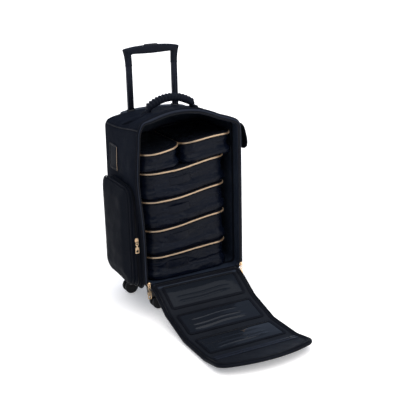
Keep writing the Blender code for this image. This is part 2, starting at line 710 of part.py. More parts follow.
def tool_pocket():
    """The small pocket high on the right, under a hinged flap that wraps over its outer face."""
    face = BODY_WIDTH / 2 + GAP
    outer_x = face + TOOL_POCKET_DEPTH
    low = Vector((face, TOOL_POCKET_FRONT, TOOL_POCKET_BOTTOM))
    high = Vector((outer_x, TOOL_POCKET_BACK, TOOL_POCKET_TOP))
    pocket = add_part("tool_pocket", box(low, high), "nylon", CASE)
    wall = Vector((TOOL_POCKET_WALL, TOOL_POCKET_WALL, TOOL_POCKET_WALL))
    above = Vector((-TOOL_POCKET_WALL, -TOOL_POCKET_WALL, CUTTER_REACH))
    boolean(pocket, add_cutter("tool_pocket_hollow", box(low + wall, high + above), CASE))
    half = FLAP_THICKNESS / 2
    hinge_x, hinge_z = face + half, TOOL_POCKET_TOP + FLAP_RISE
    hinge = add_empty("tool_flap_hinge", (hinge_x, 0.0, hinge_z), CASE)
    reach = outer_x + GAP - hinge_x
    drop = hinge_z - TOOL_POCKET_BOTTOM
    flat = [(0.0, -half), (reach, -half), (reach, -drop), (reach + FLAP_THICKNESS, -drop)]
    flat += [(reach + FLAP_THICKNESS, -FLAP_THICKNESS), (reach, half), (0.0, half)]
    ends = (TOOL_POCKET_FRONT - FLAP_OVERHANG, TOOL_POCKET_BACK + FLAP_OVERHANG)
    flap = lofted([[Vector((x, y, z)) for x, z in flat] for y in ends])
    add_part("tool_pocket_flap", flap, "nylon", hinge)


def pouch(name, low_x, width, floor, height):
    """A pouch that slides out: a soft open tub and the zipped lid over it."""
    rail = add_empty(name + "_rail", (low_x + width / 2, POUCH_FRONT + POUCH_DEPTH / 2, floor), CASE)
    half = (width / 2, POUCH_DEPTH / 2)
    inner_half = (half[0] - POUCH_WALL, half[1] - POUCH_WALL)
    lid_low = height - LID_HEIGHT
    foot = (half[0] - POUCH_CHAMFER, half[1] - POUCH_CHAMFER)
    tub_levels = (POUCH_CHAMFER, lid_low - GAP)
    outer = [rounded_rectangle((0, 0), foot, POUCH_CORNER - POUCH_CHAMFER, "XY", 0.0)]
    outer += [rounded_rectangle((0, 0), half, POUCH_CORNER, "XY", z) for z in tub_levels]
    inner_corner = POUCH_CORNER - POUCH_WALL
    inner = [rounded_rectangle((0, 0), inner_half, inner_corner, "XY", z) for z in tub_levels]
    add_part(name + "_tub", lofted(outer, inner), "nylon", rail)
    lid_levels = (lid_low, height - POUCH_CLEARANCE)
    lid = [rounded_rectangle((0, 0), half, POUCH_CORNER, "XY", z) for z in lid_levels]
    add_part(name + "_lid", lofted(lid), "gold", rail)


def pouches():
    """Four full-width pouches in a stack and two small ones side by side on top."""
    floor = POUCH_FLOOR
    for level in ("bottom", "lower", "upper", "top"):
        pouch("pouch_" + level, POUCH_LEFT, POUCH_WIDTH, floor, POUCH_HEIGHT)
        floor += POUCH_HEIGHT
    left_width, right_width = SMALL_WIDTHS
    pouch("small_pouch_left", POUCH_LEFT, left_width, floor, SMALL_HEIGHT)
    right_start = POUCH_LEFT + left_width + SMALL_GAP
    pouch("small_pouch_right", right_start, right_width, floor, SMALL_HEIGHT)


def id_window():
    """The blank clear card holder on the left wall, above the side pocket."""
    face = -BODY_WIDTH / 2 - GAP
    plate = box((face - ID_WINDOW_THICKNESS, *ID_WINDOW_LOW), (face, *ID_WINDOW_HIGH))
    soften(add_part("id_window", plate, "clear_vinyl", CASE), ID_WINDOW_EDGE)


clear_scene()
PARTS, CUTTERS = make_collections()
CASE = add_empty("case_frame", ((LEFT_REACH - RIGHT_REACH) / 2, (door_reach() - BACK_Y) / 2, 0.0))
TROLLEY = add_empty("trolley_slide", (0.0, TUBE_Y, 0.0), CASE)
body_walls()
back_cover()
front_frame()
base_tray()
for caster_end in CASTER_Y:
    for caster_side in ("left", "right"):
        caster(caster_side, caster_end)
for tube_side in ("left", "right"):
    trolley_tube(tube_side)
trolley_bezel()
trolley_bracket()
trolley_grip()
carry_handle()
door()
for pull_side, pull_sign in (("left", -1), ("right", 1)):
    pull_place = (DOOR_PULL_X * pull_sign, FRONT_Y - FRAME_DEPTH - PULL_CLEARANCE, DOOR_PULL_Z)
    zip_pull("door_zip_pull_" + pull_side, pull_place, DOOR_TAB)
side_pocket()
tool_pocket()
pouches()
id_window()
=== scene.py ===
"""The makeup train case's looks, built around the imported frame.

Shapes are laid out in the case's own frame, in metres: +Z up, the opening at FRONT_Y facing -Y.
"""

import math

import bmesh
import bpy
import numpy as np
from mathutils import Matrix, Vector, noise

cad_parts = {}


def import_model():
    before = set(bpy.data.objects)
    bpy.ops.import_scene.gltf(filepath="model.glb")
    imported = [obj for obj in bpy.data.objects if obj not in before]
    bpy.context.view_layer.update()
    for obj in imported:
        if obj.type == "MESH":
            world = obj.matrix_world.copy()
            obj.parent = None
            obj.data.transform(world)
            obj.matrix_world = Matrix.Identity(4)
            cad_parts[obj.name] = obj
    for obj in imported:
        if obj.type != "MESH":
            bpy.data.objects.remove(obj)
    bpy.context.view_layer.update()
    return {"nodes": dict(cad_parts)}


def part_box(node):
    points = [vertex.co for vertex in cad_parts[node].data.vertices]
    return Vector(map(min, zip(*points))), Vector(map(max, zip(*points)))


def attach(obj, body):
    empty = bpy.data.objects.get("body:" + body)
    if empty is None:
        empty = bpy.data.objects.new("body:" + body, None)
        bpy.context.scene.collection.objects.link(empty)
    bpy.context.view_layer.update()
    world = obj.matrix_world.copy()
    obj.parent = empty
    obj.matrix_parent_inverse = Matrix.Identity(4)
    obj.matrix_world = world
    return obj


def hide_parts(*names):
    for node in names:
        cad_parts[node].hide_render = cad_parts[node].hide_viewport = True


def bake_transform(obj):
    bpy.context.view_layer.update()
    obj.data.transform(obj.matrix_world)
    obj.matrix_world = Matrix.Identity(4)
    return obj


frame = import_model()
NODES = frame["nodes"]

# The case's own frame stands this far from the row frame.
FRONT_Y = -0.130
TOP_LOW, TOP_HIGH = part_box("top_wall")
CASE = np.array([(TOP_LOW.x + TOP_HIGH.x) / 2, TOP_LOW.y - FRONT_Y, 0.0])
RIGHT, BACK, UP = np.eye(3)
LEFT, FRONT = -RIGHT, -BACK
SIDES = ((-1, "left"), (1, "right"))


def case_box(node):
    """A CAD node's lowest and highest corners, in the case's frame."""
    low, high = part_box(node)
    return np.array(low) - CASE, np.array(high) - CASE


# ---------------------------------------------------------------- materials


def new_material(name, colour, roughness, specular=0.5, metallic=0.0):
    material = bpy.data.materials.new(name)
    material.use_nodes = True
    inputs = material.node_tree.nodes["Principled BSDF"].inputs
    inputs["Base Color"].default_value = (*colour, 1)
    inputs["Roughness"].default_value = roughness
    inputs["Metallic"].default_value = metallic
    inputs["Specular IOR Level"].default_value = specular
    return material


class Nodes:
    """Short calls for a material's node tree."""

    def __init__(self, material):
        self.tree = material.node_tree
        self.shader = self.tree.nodes["Principled BSDF"]
        self.place = self.node("TexCoord").outputs["Object"]

    def fill(self, socket, value):
        """Sets a socket to a value, or links another socket to it."""
        if isinstance(value, bpy.types.NodeSocket):
            self.tree.links.new(value, socket)
        else:
            socket.default_value = value

    def node(self, kind, **inputs):
        node = self.tree.nodes.new("ShaderNode" + kind)
        for name, value in inputs.items():
            self.fill(node.inputs[name], value)
        return node

    def scaled(self, scale):
        return self.node("Mapping", Scale=scale, Vector=self.place).outputs["Vector"]

    def noise(self, scale, detail, rough, vector=None):
        place = vector or self.place
        return self.node("TexNoise", Scale=scale, Detail=detail, Roughness=rough, Vector=place).outputs["Fac"]

    def math(self, operation, *values):
        node = self.node("Math")
        node.operation = operation
        for socket, value in zip(node.inputs, values):
            self.fill(socket, value)
        return node.outputs[0]

    def ramp(self, factor, *stops):
        """stops are (position, value) pairs, value being a number or an RGB triple."""
        node = self.node("ValToRGB", Fac=factor)
        elements = node.color_ramp.elements
        while len(elements) < len(stops):
            elements.new(0.5)
        for element, (position, value) in zip(elements, stops):
            element.position = position
            element.color = (*((value,) * 3 if isinstance(value, (int, float)) else value), 1)
        return node.outputs["Color"]

    def tones(self, factor, colour, *stops):
        """Drives the base colour by shades of one colour. stops are (position, shade)."""
        shades = [(position, tuple(shade * part for part in colour)) for position, shade in stops]
        self.fill(self.shader.inputs["Base Color"], self.ramp(factor, *shades))

    def roughness(self, factor, *stops):
        self.fill(self.shader.inputs["Roughness"], self.ramp(factor, *stops))

    def bump(self, *layers):
        """layers are (height, strength, distance) and stack."""
        last = {}
        for height, strength, distance in layers:
            node = self.node("Bump", Height=height, Strength=strength, Distance=distance, **last)
            last = {"Normal": node.outputs["Normal"]}
        self.fill(self.shader.inputs["Normal"], last["Normal"])

    def weave(self, pitch):
        """A plain weave: crossed threads, each set fading where its axis leaves the surface."""
        split = self.node("SeparateXYZ", Vector=self.node("TexCoord").outputs["Normal"])
        height = 0.0
        for axis in "XYZ":
            wave = self.node("TexWave", Scale=0.5 / pitch, Detail=0.0, Vector=self.place)
            wave.bands_direction = axis
            facing = self.math("POWER", self.math("ABSOLUTE", split.outputs[axis]), 0.5)
            band = self.math("MULTIPLY", wave.outputs["Fac"], self.math("SUBTRACT", 1.0, facing))
            height = self.math("ADD", height, band)
        return self.math("MULTIPLY", height, 0.5)


def fabric(name, colour, dark, roughness, pitch, crease, specular):
    """Woven nylon: threads at a pitch, soft creases and patchy colour."""
    material = new_material(name, colour, roughness, specular)
    nodes = Nodes(material)
    weave = nodes.weave(pitch)
    creases = nodes.noise(16.0, 3.0, 0.55)
    fibres = nodes.noise(900.0, 2.0, 0.6)
    nodes.bump((creases, crease, 0.010), (weave, 0.25, 0.0006), (fibres, 0.10, 0.0003))
    patches = nodes.math("MULTIPLY", nodes.noise(9.0, 4.0, 0.6), 0.65)
    threads = nodes.math("MULTIPLY_ADD", weave, 0.35, patches)
    shades = nodes.ramp(threads, (0.25, dark), (0.62, colour), (0.9, tuple(1.25 * part for part in colour)))
    nodes.fill(nodes.shader.inputs["Base Color"], shades)
    nodes.roughness(nodes.noise(24.0, 3.0, 0.6), (0.3, roughness - 0.08), (0.75, min(1.0, roughness + 0.1)))
    return material


def plastic(name, colour, roughness, grain=0.12, specular=0.22):
    """Moulded plastic with a fine spark grain, faint scuffs and slightly uneven gloss."""
    material = new_material(name, colour, roughness, specular)
    nodes = Nodes(material)
    nodes.bump((nodes.noise(30.0, 2.0, 0.5), 0.08, 0.002), (nodes.noise(1400.0, 2.0, 0.6), grain, 0.0002))
    scuffs = nodes.noise(60.0, 6.0, 0.75, nodes.scaled((1.0, 1.0, 0.25)))
    nodes.tones(scuffs, colour, (0.35, 0.75), (0.6, 1.0), (0.8, 1.9))
    nodes.roughness(scuffs, (0.3, roughness - 0.06), (0.75, roughness + 0.15))
    return material


def metal(name, colour, roughness, brushed=(1.0, 1.0, 0.02), strength=0.08):
    """Metal with fine brushing along one axis and soft handling marks."""
    material = new_material(name, colour, roughness, metallic=1.0)
    nodes = Nodes(material)
    nodes.bump((nodes.noise(1500.0, 3.0, 0.6, nodes.scaled(brushed)), strength, 0.0002))
    marks = nodes.noise(45.0, 5.0, 0.7)
    nodes.tones(marks, colour, (0.3, 0.7), (0.7, 1.0))
    nodes.roughness(marks, (0.3, roughness - 0.06), (0.8, roughness + 0.16))
    return material


def vinyl(name, specular, roughness=0.10):
    """PVC film over black cloth, drawn opaque: its dark colour is the black cloth behind it together with painted
    shade under the film; glossy, slightly wavy, with faint smears.
    """
    material = new_material(name, (0.0080, 0.0096, 0.0128), roughness, specular)
    nodes = Nodes(material)
    nodes.bump((nodes.noise(15.0, 0.6, 0.4, nodes.scaled((0.6, 1.4, 1.4))), 0.16, 0.006))
    nodes.roughness(nodes.noise(14.0, 4.0, 0.6), (0.3, roughness - 0.04), (0.8, roughness + 0.10))
    return material


# Fabrics: name, colour, its dark, roughness, thread pitch, crease strength and specular level.
FABRICS = {
    "nylon": ("nylon", (0.0074, 0.0090, 0.0134), (0.0042, 0.0052, 0.0084), 0.60, 0.0011, 0.35, 0.004),
    # The cover's colour is the outer nylon's made darker: painted shade for the pocket on the case's shaded left
    # side.
    "cover": ("cover_nylon_painted_shade", (0.0060, 0.0070, 0.0098), (0.0046, 0.0054, 0.0078), 0.50, 0.0011, 0.12, 0.005),
    # The gusset's colour is the outer nylon's made about twice as light: painted light on the front-facing rim
    # round the opening.
    "gusset": ("gusset_nylon_painted_light", (0.0150, 0.0185, 0.0280), (0.0090, 0.0112, 0.0180), 0.50, 0.0011, 0.25, 0.08),
    "lining": ("lining", (0.0160, 0.0215, 0.0320), (0.0100, 0.0135, 0.0215), 0.45, 0.0007, 0.5, 0.16),
    "pouch": ("pouch_nylon", (0.0026, 0.0040, 0.0088), (0.0014, 0.0022, 0.0050), 0.24, 0.0008, 0.5, 0.085),
    "lid": ("pouch_lid_nylon", (0.0036, 0.0046, 0.0080), (0.0020, 0.0026, 0.0046), 0.42, 0.0008, 0.4, 0.12),
    "trim": ("binding", (0.0040, 0.0048, 0.0076), (0.0022, 0.0026, 0.0044), 0.55, 0.0016, 0.15, 0.05),
    "thread": ("thread", (0.0090, 0.0098, 0.0130), (0.0050, 0.0054, 0.0074), 0.6, 0.0004, 0.1, 0.1),
    "door_cloth": ("door_cloth", (0.0096, 0.0108, 0.0138), (0.0056, 0.0064, 0.0086), 0.55, 0.0014, 0.3, 0.06),
}
MATERIALS = {
    **{key: fabric(*row) for key, row in FABRICS.items()},
    "black_plastic": plastic("black_plastic", (0.0045, 0.0048, 0.0064), 0.34),
    "grip_rubber": plastic("grip_rubber", (0.0058, 0.0072, 0.0120), 0.45, 0.2, 0.06),
    "wheel_rubber": plastic("wheel_rubber", (0.0050, 0.0052, 0.0064), 0.5, 0.3),
    "tube_metal": metal("tube_metal", (0.016, 0.018, 0.026), 0.34),
    "steel": metal("axle_steel", (0.42, 0.43, 0.46), 0.3),
    "gold": metal("gold", (0.95, 0.68, 0.42), 0.28, (1.0, 1.0, 1.0), 0.05),
    "gold_zip": metal("gold_zip", (0.60, 0.44, 0.29), 0.40, (1.0, 1.0, 1.0), 0.05),
    # The films are opaque: their dark colour is the cloth behind them plus painted shade under the film.
    "clear_vinyl": vinyl("clear_vinyl", 0.12),
    "near_vinyl": vinyl("near_vinyl", 0.05),
    "dull_vinyl": vinyl("dull_vinyl", 0.003, 0.25),
}


def repaint(node, material):
    """Gives a CAD node that stays as it is a better material."""
    NODES[node].data.materials.clear()
    NODES[node].data.materials.append(MATERIALS[material])


# ------------------------------------------------------------------- shapes


def unit(vectors):
    vectors = np.asarray(vectors, float)
    return vectors / np.maximum(np.linalg.norm(vectors, axis=-1, keepdims=True), 1e-12)


def columns(x, y, z):
    """Points from three coordinates, any of which may be a single number."""
    return np.stack(np.broadcast_arrays(np.asarray(x, float), y, z), axis=-1)


def linked(name, data):
    obj = bpy.data.objects.new(name, data)
    bpy.context.scene.collection.objects.link(obj)
    return obj


COIL_PITCH = 0.0022
COIL_TOOTH = (0.0013, 0.0034, 0.0016)


class Shape:
    """Points and faces gathered from grids, sweeps and small blocks, in the case's frame."""

    def __init__(self):
        self.points = []
        self.faces = []

    def add(self, points, faces):
        base = len(self.points)
        self.points.extend(np.asarray(points, float).reshape(-1, 3).tolist())
        self.faces.extend([tuple(base + index for index in face) for face in faces])
        return self

    def lid(self, ring):
        """One face over a ring of points."""
        return self.add(ring, [tuple(range(len(ring)))])

    def grid(self, rows, wrap=False, close=False, caps=False):
        """Joins rows of points with quads. wrap joins each row's ends, close the first and last rows."""
        rows = np.asarray(rows, float)
        count, width = rows.shape[:2]
        faces = []
        for row in range(count if close else count - 1):
            here, after = row * width, (row + 1) % count * width
            for column in range(width if wrap else width - 1):
                beside = (column + 1) % width
                faces.append((here + column, here + beside, after + beside, after + column))
        if caps:
            faces += [tuple(range(width)), tuple(range(count * width - 1, (count - 1) * width - 1, -1))]
        return self.add(rows, faces)

    def tube(self, rows):
        """Rings joined into a closed solid."""
        return self.grid(rows, wrap=True, caps=True)

    def sweep(self, path, normals, profile, closed=False, scale=1.0):
        """Runs a closed profile of (along the normal, across it) pairs down a path."""
        path, across, normals = framed(path, normals, closed)
        scale = np.broadcast_to(scale, len(path))
        offsets = np.asarray(profile, float)[None] * scale[:, None, None]
        rows = path[:, None] + offsets[..., :1] * normals[:, None] + offsets[..., 1:] * across[:, None]
        return self.grid(rows, wrap=True, close=True) if closed else self.tube(rows)

    def block(self, centre, right, up, out, sizes, taper=0.7):
        """A small block with its far face tapered, on three axes."""
        right, up, out = (np.asarray(axis, float) * size / 2 for axis, size in zip((right, up, out), sizes))
        corners = [
            centre + (right * a + up * b) * spread + out * level
            for level, spread in ((-1, 1.0), (1, taper)) for a, b in ((-1, -1), (1, -1), (1, 1), (-1, 1))
        ]
        sides = [(0, 1, 5, 4), (1, 2, 6, 5), (2, 3, 7, 6), (3, 0, 4, 7)]
        return self.add(corners, [(3, 2, 1, 0), (4, 5, 6, 7), *sides])

    def blocks(self, spots, right, up, out, sizes, taper=0.7):
        for spot in spots:
            self.block(spot, right, up, out, sizes, taper)
        return self

    def teeth(
        self, line, normals, pitch=COIL_PITCH, sizes=COIL_TOOTH, taper=0.7, closed=False, zigzag=0.0, lift=0.0,
    ):
        """Blocks along a line, shifted to its two sides in turn."""
        count = int(lengths_along(line, closed)[1][-1] / pitch)
        spots, directions = resampled(line, count, closed)
        lifts = unit(resampled_values(line, normals, count, closed))
        for index, (spot, along, out) in enumerate(zip(spots, directions, lifts)):
            side = np.cross(along, out)
            shift = zigzag if index % 2 else -zigzag
            self.block(spot + side * shift + out * lift, along, side, out, sizes, taper)
        return self

    def stitches(self, path, normals, pitch=0.0042, length=0.0027, closed=False):
        """A row of raised thread dashes along a path."""
        radius = 0.00038
        count = max(2, int(lengths_along(path, closed)[1][-1] / pitch))
        spots, directions = resampled(path, count, closed)
        lifts = unit(resampled_values(path, normals, count, closed))
        for spot, along, out in zip(spots, directions, lifts):
            side = np.cross(along, out)
            rows = []
            for share, size, rise in ((-0.5, 0.25, 0.0), (-0.3, 1.0, 0.5), (0.3, 1.0, 0.5), (0.5, 0.25, 0.0)):
                centre = spot + along * length * share + out * radius * rise
                ring = ((1, 0), (0.2, 1), (-0.8, 0), (0.2, -1))
                rows.append([centre + (out * a + side * b) * radius * size for a, b in ring])
            self.tube(rows)
        return self

    def object(self, name, material, body="case", replaces=(), smooth=40, slot=None):
        """Makes the piece. smooth is the angle in degrees over which an edge stays sharp."""
        mesh = bpy.data.meshes.new(name)
        mesh.from_pydata((np.asarray(self.points) + CASE).tolist(), [], self.faces)
        shape = bmesh.new()
        shape.from_mesh(mesh)
        bmesh.ops.remove_doubles(shape, verts=shape.verts, dist=1e-6)
        bmesh.ops.dissolve_degenerate(shape, edges=shape.edges, dist=1e-6)
        bmesh.ops.recalc_face_normals(shape, faces=shape.faces)
        shape.to_mesh(mesh)
        shape.free()
        mesh.shade_smooth()
        if smooth:
            mesh.set_sharp_from_angle(angle=math.radians(smooth))
        mesh.materials.append(MATERIALS[material])
        obj = linked(name, mesh)
        if replaces:
            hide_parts(*replaces)
        if body:
            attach(obj, body)
        return obj


def lengths_along(path, closed=False):
    """A path, closed if asked, and the length along it at each point."""
    path = np.asarray(path, float)
    if closed:
        path = np.vstack([path, path[:1]])
    return path, np.concatenate([[0], np.cumsum(np.linalg.norm(np.diff(path, axis=0), axis=1))])


def read_at(wanted, lengths, values):
    return np.stack([np.interp(wanted, lengths, column) for column in values.T], axis=1)


def resampled(path, count, closed=False):
    """Evenly spaced points along a path, and its directions there."""
    path, lengths = lengths_along(path, closed)
    wanted = np.linspace(0, lengths[-1], count, endpoint=not closed)
    step = lengths[-1] * 1e-3
    ahead, behind = (read_at(np.clip(wanted + shift, 0, lengths[-1]), lengths, path) for shift in (step, -step))
    return read_at(wanted, lengths, path), unit(ahead - behind)


def evened(flat, count):
    return resampled(flat, count, closed=True)[0]


def resampled_values(path, values, count, closed=False):
    """Values given at a path's points, read at evenly spaced places along it."""
    values = np.broadcast_to(np.asarray(values, float), np.shape(path))
    if closed:
        values = np.vstack([values, values[:1]])
    lengths = lengths_along(path, closed)[1]
    return read_at(np.linspace(0, lengths[-1], count, endpoint=not closed), lengths, values)


def softened(flat, rounds):
    """Smooths a path in place, its ends fixed."""
    for _ in range(rounds):
        flat[1:-1] = (flat[:-2] + 2 * flat[1:-1] + flat[2:]) / 4
    return flat


def ring_directions(ring):
    return unit(np.roll(ring, -1, axis=0) - np.roll(ring, 1, axis=0))


def framed(path, normals, closed=False):
    """A path with, at each point, the direction across it and a normal square to it."""
    path = np.asarray(path, float)
    along = ring_directions(path) if closed else unit(np.gradient(path, axis=0))
    normals = np.broadcast_to(np.asarray(normals, float), path.shape)
    normals = unit(normals - (normals * along).sum(axis=1, keepdims=True) * along)
    return path, np.cross(along, normals), normals


def superoval(half_a, half_b, power, sides):
    turn = math.tau * np.arange(sides) / sides
    waves = np.stack([np.cos(turn), np.sin(turn)], axis=1)
    return np.copysign(np.abs(waves) ** (2 / power), waves) * (half_a, half_b)


def oval(half_out, half_across, sides=8, lift=0.0):
    return superoval(half_out, half_across, 2.0, sides) + (lift, 0.0)


def disc(half_x, half_y, power, sides, x, y, z):
    """A level superoval ring about a place."""
    flat = superoval(half_x, half_y, power, sides)
    return columns(flat[:, 0] + x, flat[:, 1] + y, z)


def band(thickness, width):
    """A flat strip's profile with softened edges."""
    t, w, r = thickness / 2, width / 2, thickness * 0.3
    half = [(t, -w + r), (t, w - r), (t - r, w), (-t + r, w)]
    return half + [(-a, -b) for a, b in half]


def smoothstep(value, low=0.0, high=1.0):
    share = np.clip((np.asarray(value, float) - low) / (high - low), 0, 1)
    return share * share * (3 - 2 * share)


def rough(points, scale, seed):
    """Smooth noise from -1 to 1 at each point."""
    flat = np.asarray(points, float).reshape(-1, 3) * scale + np.array([seed, -seed, seed * 0.7])
    return np.array([noise.fractal(Vector(p), 1.0, 2.0, 2) for p in flat]).reshape(np.shape(points)[:-1])


def arc(centre_x, centre_z, radius, start, end, steps=8):
    turns = np.radians(np.linspace(start, end, steps + 1))
    return np.stack([centre_x + radius * np.cos(turns), centre_z + radius * np.sin(turns)], axis=1)


def arch_outline(half_width, bottom, shoulder, slope, top_radius, bottom_radius, steps=8):
    """A rounded rectangle with an arched top, from the bottom's middle round by the right."""
    corner = arc(half_width - top_radius, shoulder - top_radius, top_radius, 0, 90 - slope, steps)
    edge_x, edge_z = corner[-1]
    arch_radius = edge_x / math.sin(math.radians(slope))
    crown_centre = edge_z - arch_radius * math.cos(math.radians(slope))
    crown = arc(0.0, crown_centre, arch_radius, 90 - slope, 90 + slope, steps * 3)
    foot = arc(half_width - bottom_radius, bottom + bottom_radius, bottom_radius, 270, 360, steps)
    middle, mirror = [[0.0, bottom]], (-1.0, 1.0)
    left_corner, left_foot = (corner * mirror)[::-1][1:], (foot * mirror)[::-1]
    return np.vstack([middle, foot, corner[:-1], crown, left_corner, left_foot, middle])


def rounded_path(low, high, radius, steps=6):
    """A rounded rectangle as (u, v) points, anticlockwise."""
    corners = []
    (left, bottom), (right, top) = low, high
    for u, v, start in ((right, top, 0), (left, top, 90), (left, bottom, 180), (right, bottom, 270)):
        centre = (u - radius * (1 if u == right else -1), v - radius * (1 if v == top else -1))
        corners.append(arc(*centre, radius, start, start + 90, steps))
    return np.vstack(corners)


def inset_path(low, high, inset, radius, count, steps=6):
    """A rounded rectangle drawn in from its corners, as evenly spaced points."""
    return evened(rounded_path(np.asarray(low) + inset, np.asarray(high) - inset, radius, steps), count)


def plan_outward(flat):
    """Each outline point's direction away from its middle, in its plane."""
    along = ring_directions(flat)
    return np.stack([along[:, 1], -along[:, 0]], axis=1)


def level_outward(flat):
    return np.insert(plan_outward(flat), 2, 0.0, axis=1)


def welt(name, body, place, normal, low, high, count, inset, profile, replaces=()):
    """The raised frame round a film window. place(flat, lift) and normal(flat) put it on its surface."""
    flat = inset_path(low, high, inset, 0.006, count)
    Shape().sweep(place(flat, 0.0008), normal(flat), profile, closed=True).object(name, "trim", body, replaces)


def window_stitches(name, body, place, normal, low, high, count, insets, radius, least, lift):
    """A row of stitches round a film window at each inset."""
    sewing = Shape()
    for inset in insets:
        flat = inset_path(low, high, inset, max(radius - inset, least), count)
        sewing.stitches(place(flat, lift), normal(flat), closed=True)
    sewing.object(name, "thread", body)


# --------------------------------------------------------------- case shell

BACK_Y = 0.165
BACK_RADIUS = 0.030
WALL = 0.008
CHAMBER_BACK = 0.117
HALF_WIDTH = 0.175
BODY_BOTTOM = 0.104
SHOULDER = (0.614, 0.603)
SLOPE = (24.0, 9.0)
TOP_CORNER = 0.032
BOTTOM_CORNER = 0.020
STRAIGHT_ROWS = 34
BACK_EDGE_ROW = 37


def body_outline(y, inset=0.0, count=240):
    """The case's outline across Y as evenly spaced points from the bottom's middle round by the right."""
    share = (y - FRONT_Y) / (BACK_Y - FRONT_Y)
    flat = arch_outline(
        HALF_WIDTH - inset,
        BODY_BOTTOM + inset,
        SHOULDER[0] + (SHOULDER[1] - SHOULDER[0]) * share - inset,
        SLOPE[0] + (SLOPE[1] - SLOPE[0]) * share,
        max(0.004, TOP_CORNER - inset),
        max(0.004, BOTTOM_CORNER - inset),
    )
    flat = evened(flat[:-1], count)
    return columns(flat[:, 0], y, flat[:, 1])


def outward(loop):
    """Each outline point's direction away from the case, across Y."""
    along = ring_directions(loop)
    return unit(columns(along[:, 2], 0.0, -along[:, 0]))


def fullness(points):
    """How far the soft skin stands out: full in the middle of each side panel, drawn in at its seams."""
    x, y, z = np.moveaxis(points, -1, 0)
    run = np.sin(math.pi * np.clip((y - FRONT_Y) / (BACK_Y - FRONT_Y), 0, 1)) ** 0.8
    rise = np.sin(math.pi * np.clip((z - 0.126) / (0.603 - 0.126), 0, 1)) ** 0.8
    side = smoothstep(np.abs(x), 0.15, 0.172) * np.where(x < 0, 0.0085, 0.0030)
    top = smoothstep(z, 0.600, 0.612) * 0.0030 * np.cos(np.clip(x / 0.16, -1, 1) * math.pi / 2)
    creases = rough(points * (1.0, 1.0, 0.7), 14.0, 3.0) * 0.0016 + rough(points, 38.0, 9.0) * 0.0006
    return run * (rise * side + top) + creases * (0.25 + 0.75 * run)


# The opening's top edge: places across it, and how far it stands up at each.
LIP_X = (-0.175, -0.160, -0.116, -0.069, -0.018, 0.033, 0.067, 0.102, 0.175)
LIP_LIFT = (0.010, 0.024, 0.021, 0.020, 0.016, 0.010, 0.003, -0.004, -0.004)


def jamb_bow(z):
    """How much of the left jamb's bow there is at a height."""
    return np.exp(-(((z - 0.455) / 0.110) ** 2))


def swayed(points):
    """The soft shell's slump: the opening's top edge stands up, its left jamb bows out."""
    x, y, z = np.moveaxis(points, -1, 0)
    moved = points.copy()
    front = smoothstep(-y, -0.06, 0.12)
    moved[..., 2] += np.interp(x, LIP_X, LIP_LIFT) * front * smoothstep(z, 0.545, 0.600)
    moved[..., 0] -= 0.0125 * jamb_bow(z) * front * smoothstep(-x, 0.10, 0.16)
    return moved


def back_panel(shape, edge, y, steps, depth):
    """Closes a shell's back with rings towards its middle. depth(ring, share) is how far each lies behind y."""
    centre = np.array([0.0, y, 0.36])
    loops = [edge]
    for share in np.linspace(1, 0, steps)[1:-1]:
        ring = centre + (edge - centre) * share
        ring[:, 1] = y + depth(ring, share)
        loops.append(ring)
    shape.grid(loops, wrap=True).lid(loops[-1])


def outer_skin():
    """The padded skin, from the front edge to the middle of the back. Returns its outlines."""
    rows = [body_outline(y) for y in np.linspace(FRONT_Y, BACK_Y - BACK_RADIUS, STRAIGHT_ROWS)]
    for turn in np.linspace(0, math.pi / 2, 9)[1:]:
        y = BACK_Y - BACK_RADIUS * (1 - math.sin(turn))
        rows.append(body_outline(y, BACK_RADIUS * (1 - math.cos(turn))))
    puffed = np.array([swayed(row + outward(row) * fullness(row)[:, None]) for row in rows])
    shape = Shape().grid(puffed, wrap=True)

    def depth(ring, share):
        return 0.0035 * math.sin(math.pi * share) + rough(ring, 12.0, 5.0) * 0.0012 * (1 - share**4)

    back_panel(shape, puffed[-1], BACK_Y, 16, depth)
    walls = ("left_wall", "right_wall", "top_wall", "base_wall", "back_cover")
    shape.object("case_outer_skin", "nylon", replaces=walls)
    return puffed


def lining():
    """The inner skin, loosely hung, with a zip-tape band sewn round it."""
    rows = []
    for y in np.linspace(FRONT_Y - 0.001, CHAMBER_BACK, 30):
        row = body_outline(y, WALL)
        slack = rough(row * (1.0, 0.6, 1.0), 18.0, 21.0) * 0.0016
        inside = 1 - math.cos(math.tau * (y - FRONT_Y) / (CHAMBER_BACK + 0.001 - FRONT_Y))
        rows.append(swayed(row - outward(row) * (slack * inside * 0.5)[:, None]))
    shape = Shape().grid(rows, wrap=True)

    def depth(ring, share):
        return -0.0025 * math.sin(math.pi * share) - np.abs(rough(ring, 16.0, 2.0)) * 0.0012

    back_panel(shape, rows[-1], CHAMBER_BACK, 12, depth)
    shape.object("case_lining", "lining", replaces=("back_board",))
    tape = Shape()
    for y in (FRONT_Y + 0.034, FRONT_Y + 0.040):
        row = body_outline(y, WALL + 0.0012)
        tape.sweep(swayed(row), -outward(row), band(0.0014, 0.0045), closed=True)
    tape.object("lining_tape", "trim")


def seam_piping(puffed):
    """Piping cords and stitches round the front and back edges, and a seam along each top corner."""
    cords = Shape()
    for row, radius, lift in ((0, 0.0026, 0.0012), (BACK_EDGE_ROW, 0.0024, 0.0010)):
        cords.sweep(puffed[row], outward(puffed[row]), oval(radius, radius, 8, lift), closed=True)
    cords.object("case_piping", "trim")
    for sign, side in SIDES:
        middle = puffed[17]
        place = np.argmin(np.abs(middle[:, 0] - sign * 0.1705) + np.where(middle[:, 2] < 0.57, 10, 0))
        line = puffed[:STRAIGHT_ROWS, place]
        seam = Shape().sweep(line, (sign * 0.9, 0.0, 0.45), oval(0.0022, 0.0022, 8, 0.0008))
        seam.object("top_seam_" + side, "trim")
    stitches = Shape()
    for row in (1, 2, STRAIGHT_ROWS - 1):
        stitches.stitches(puffed[row], outward(puffed[row]), closed=True)
    stitches.object("case_stitching", "thread")


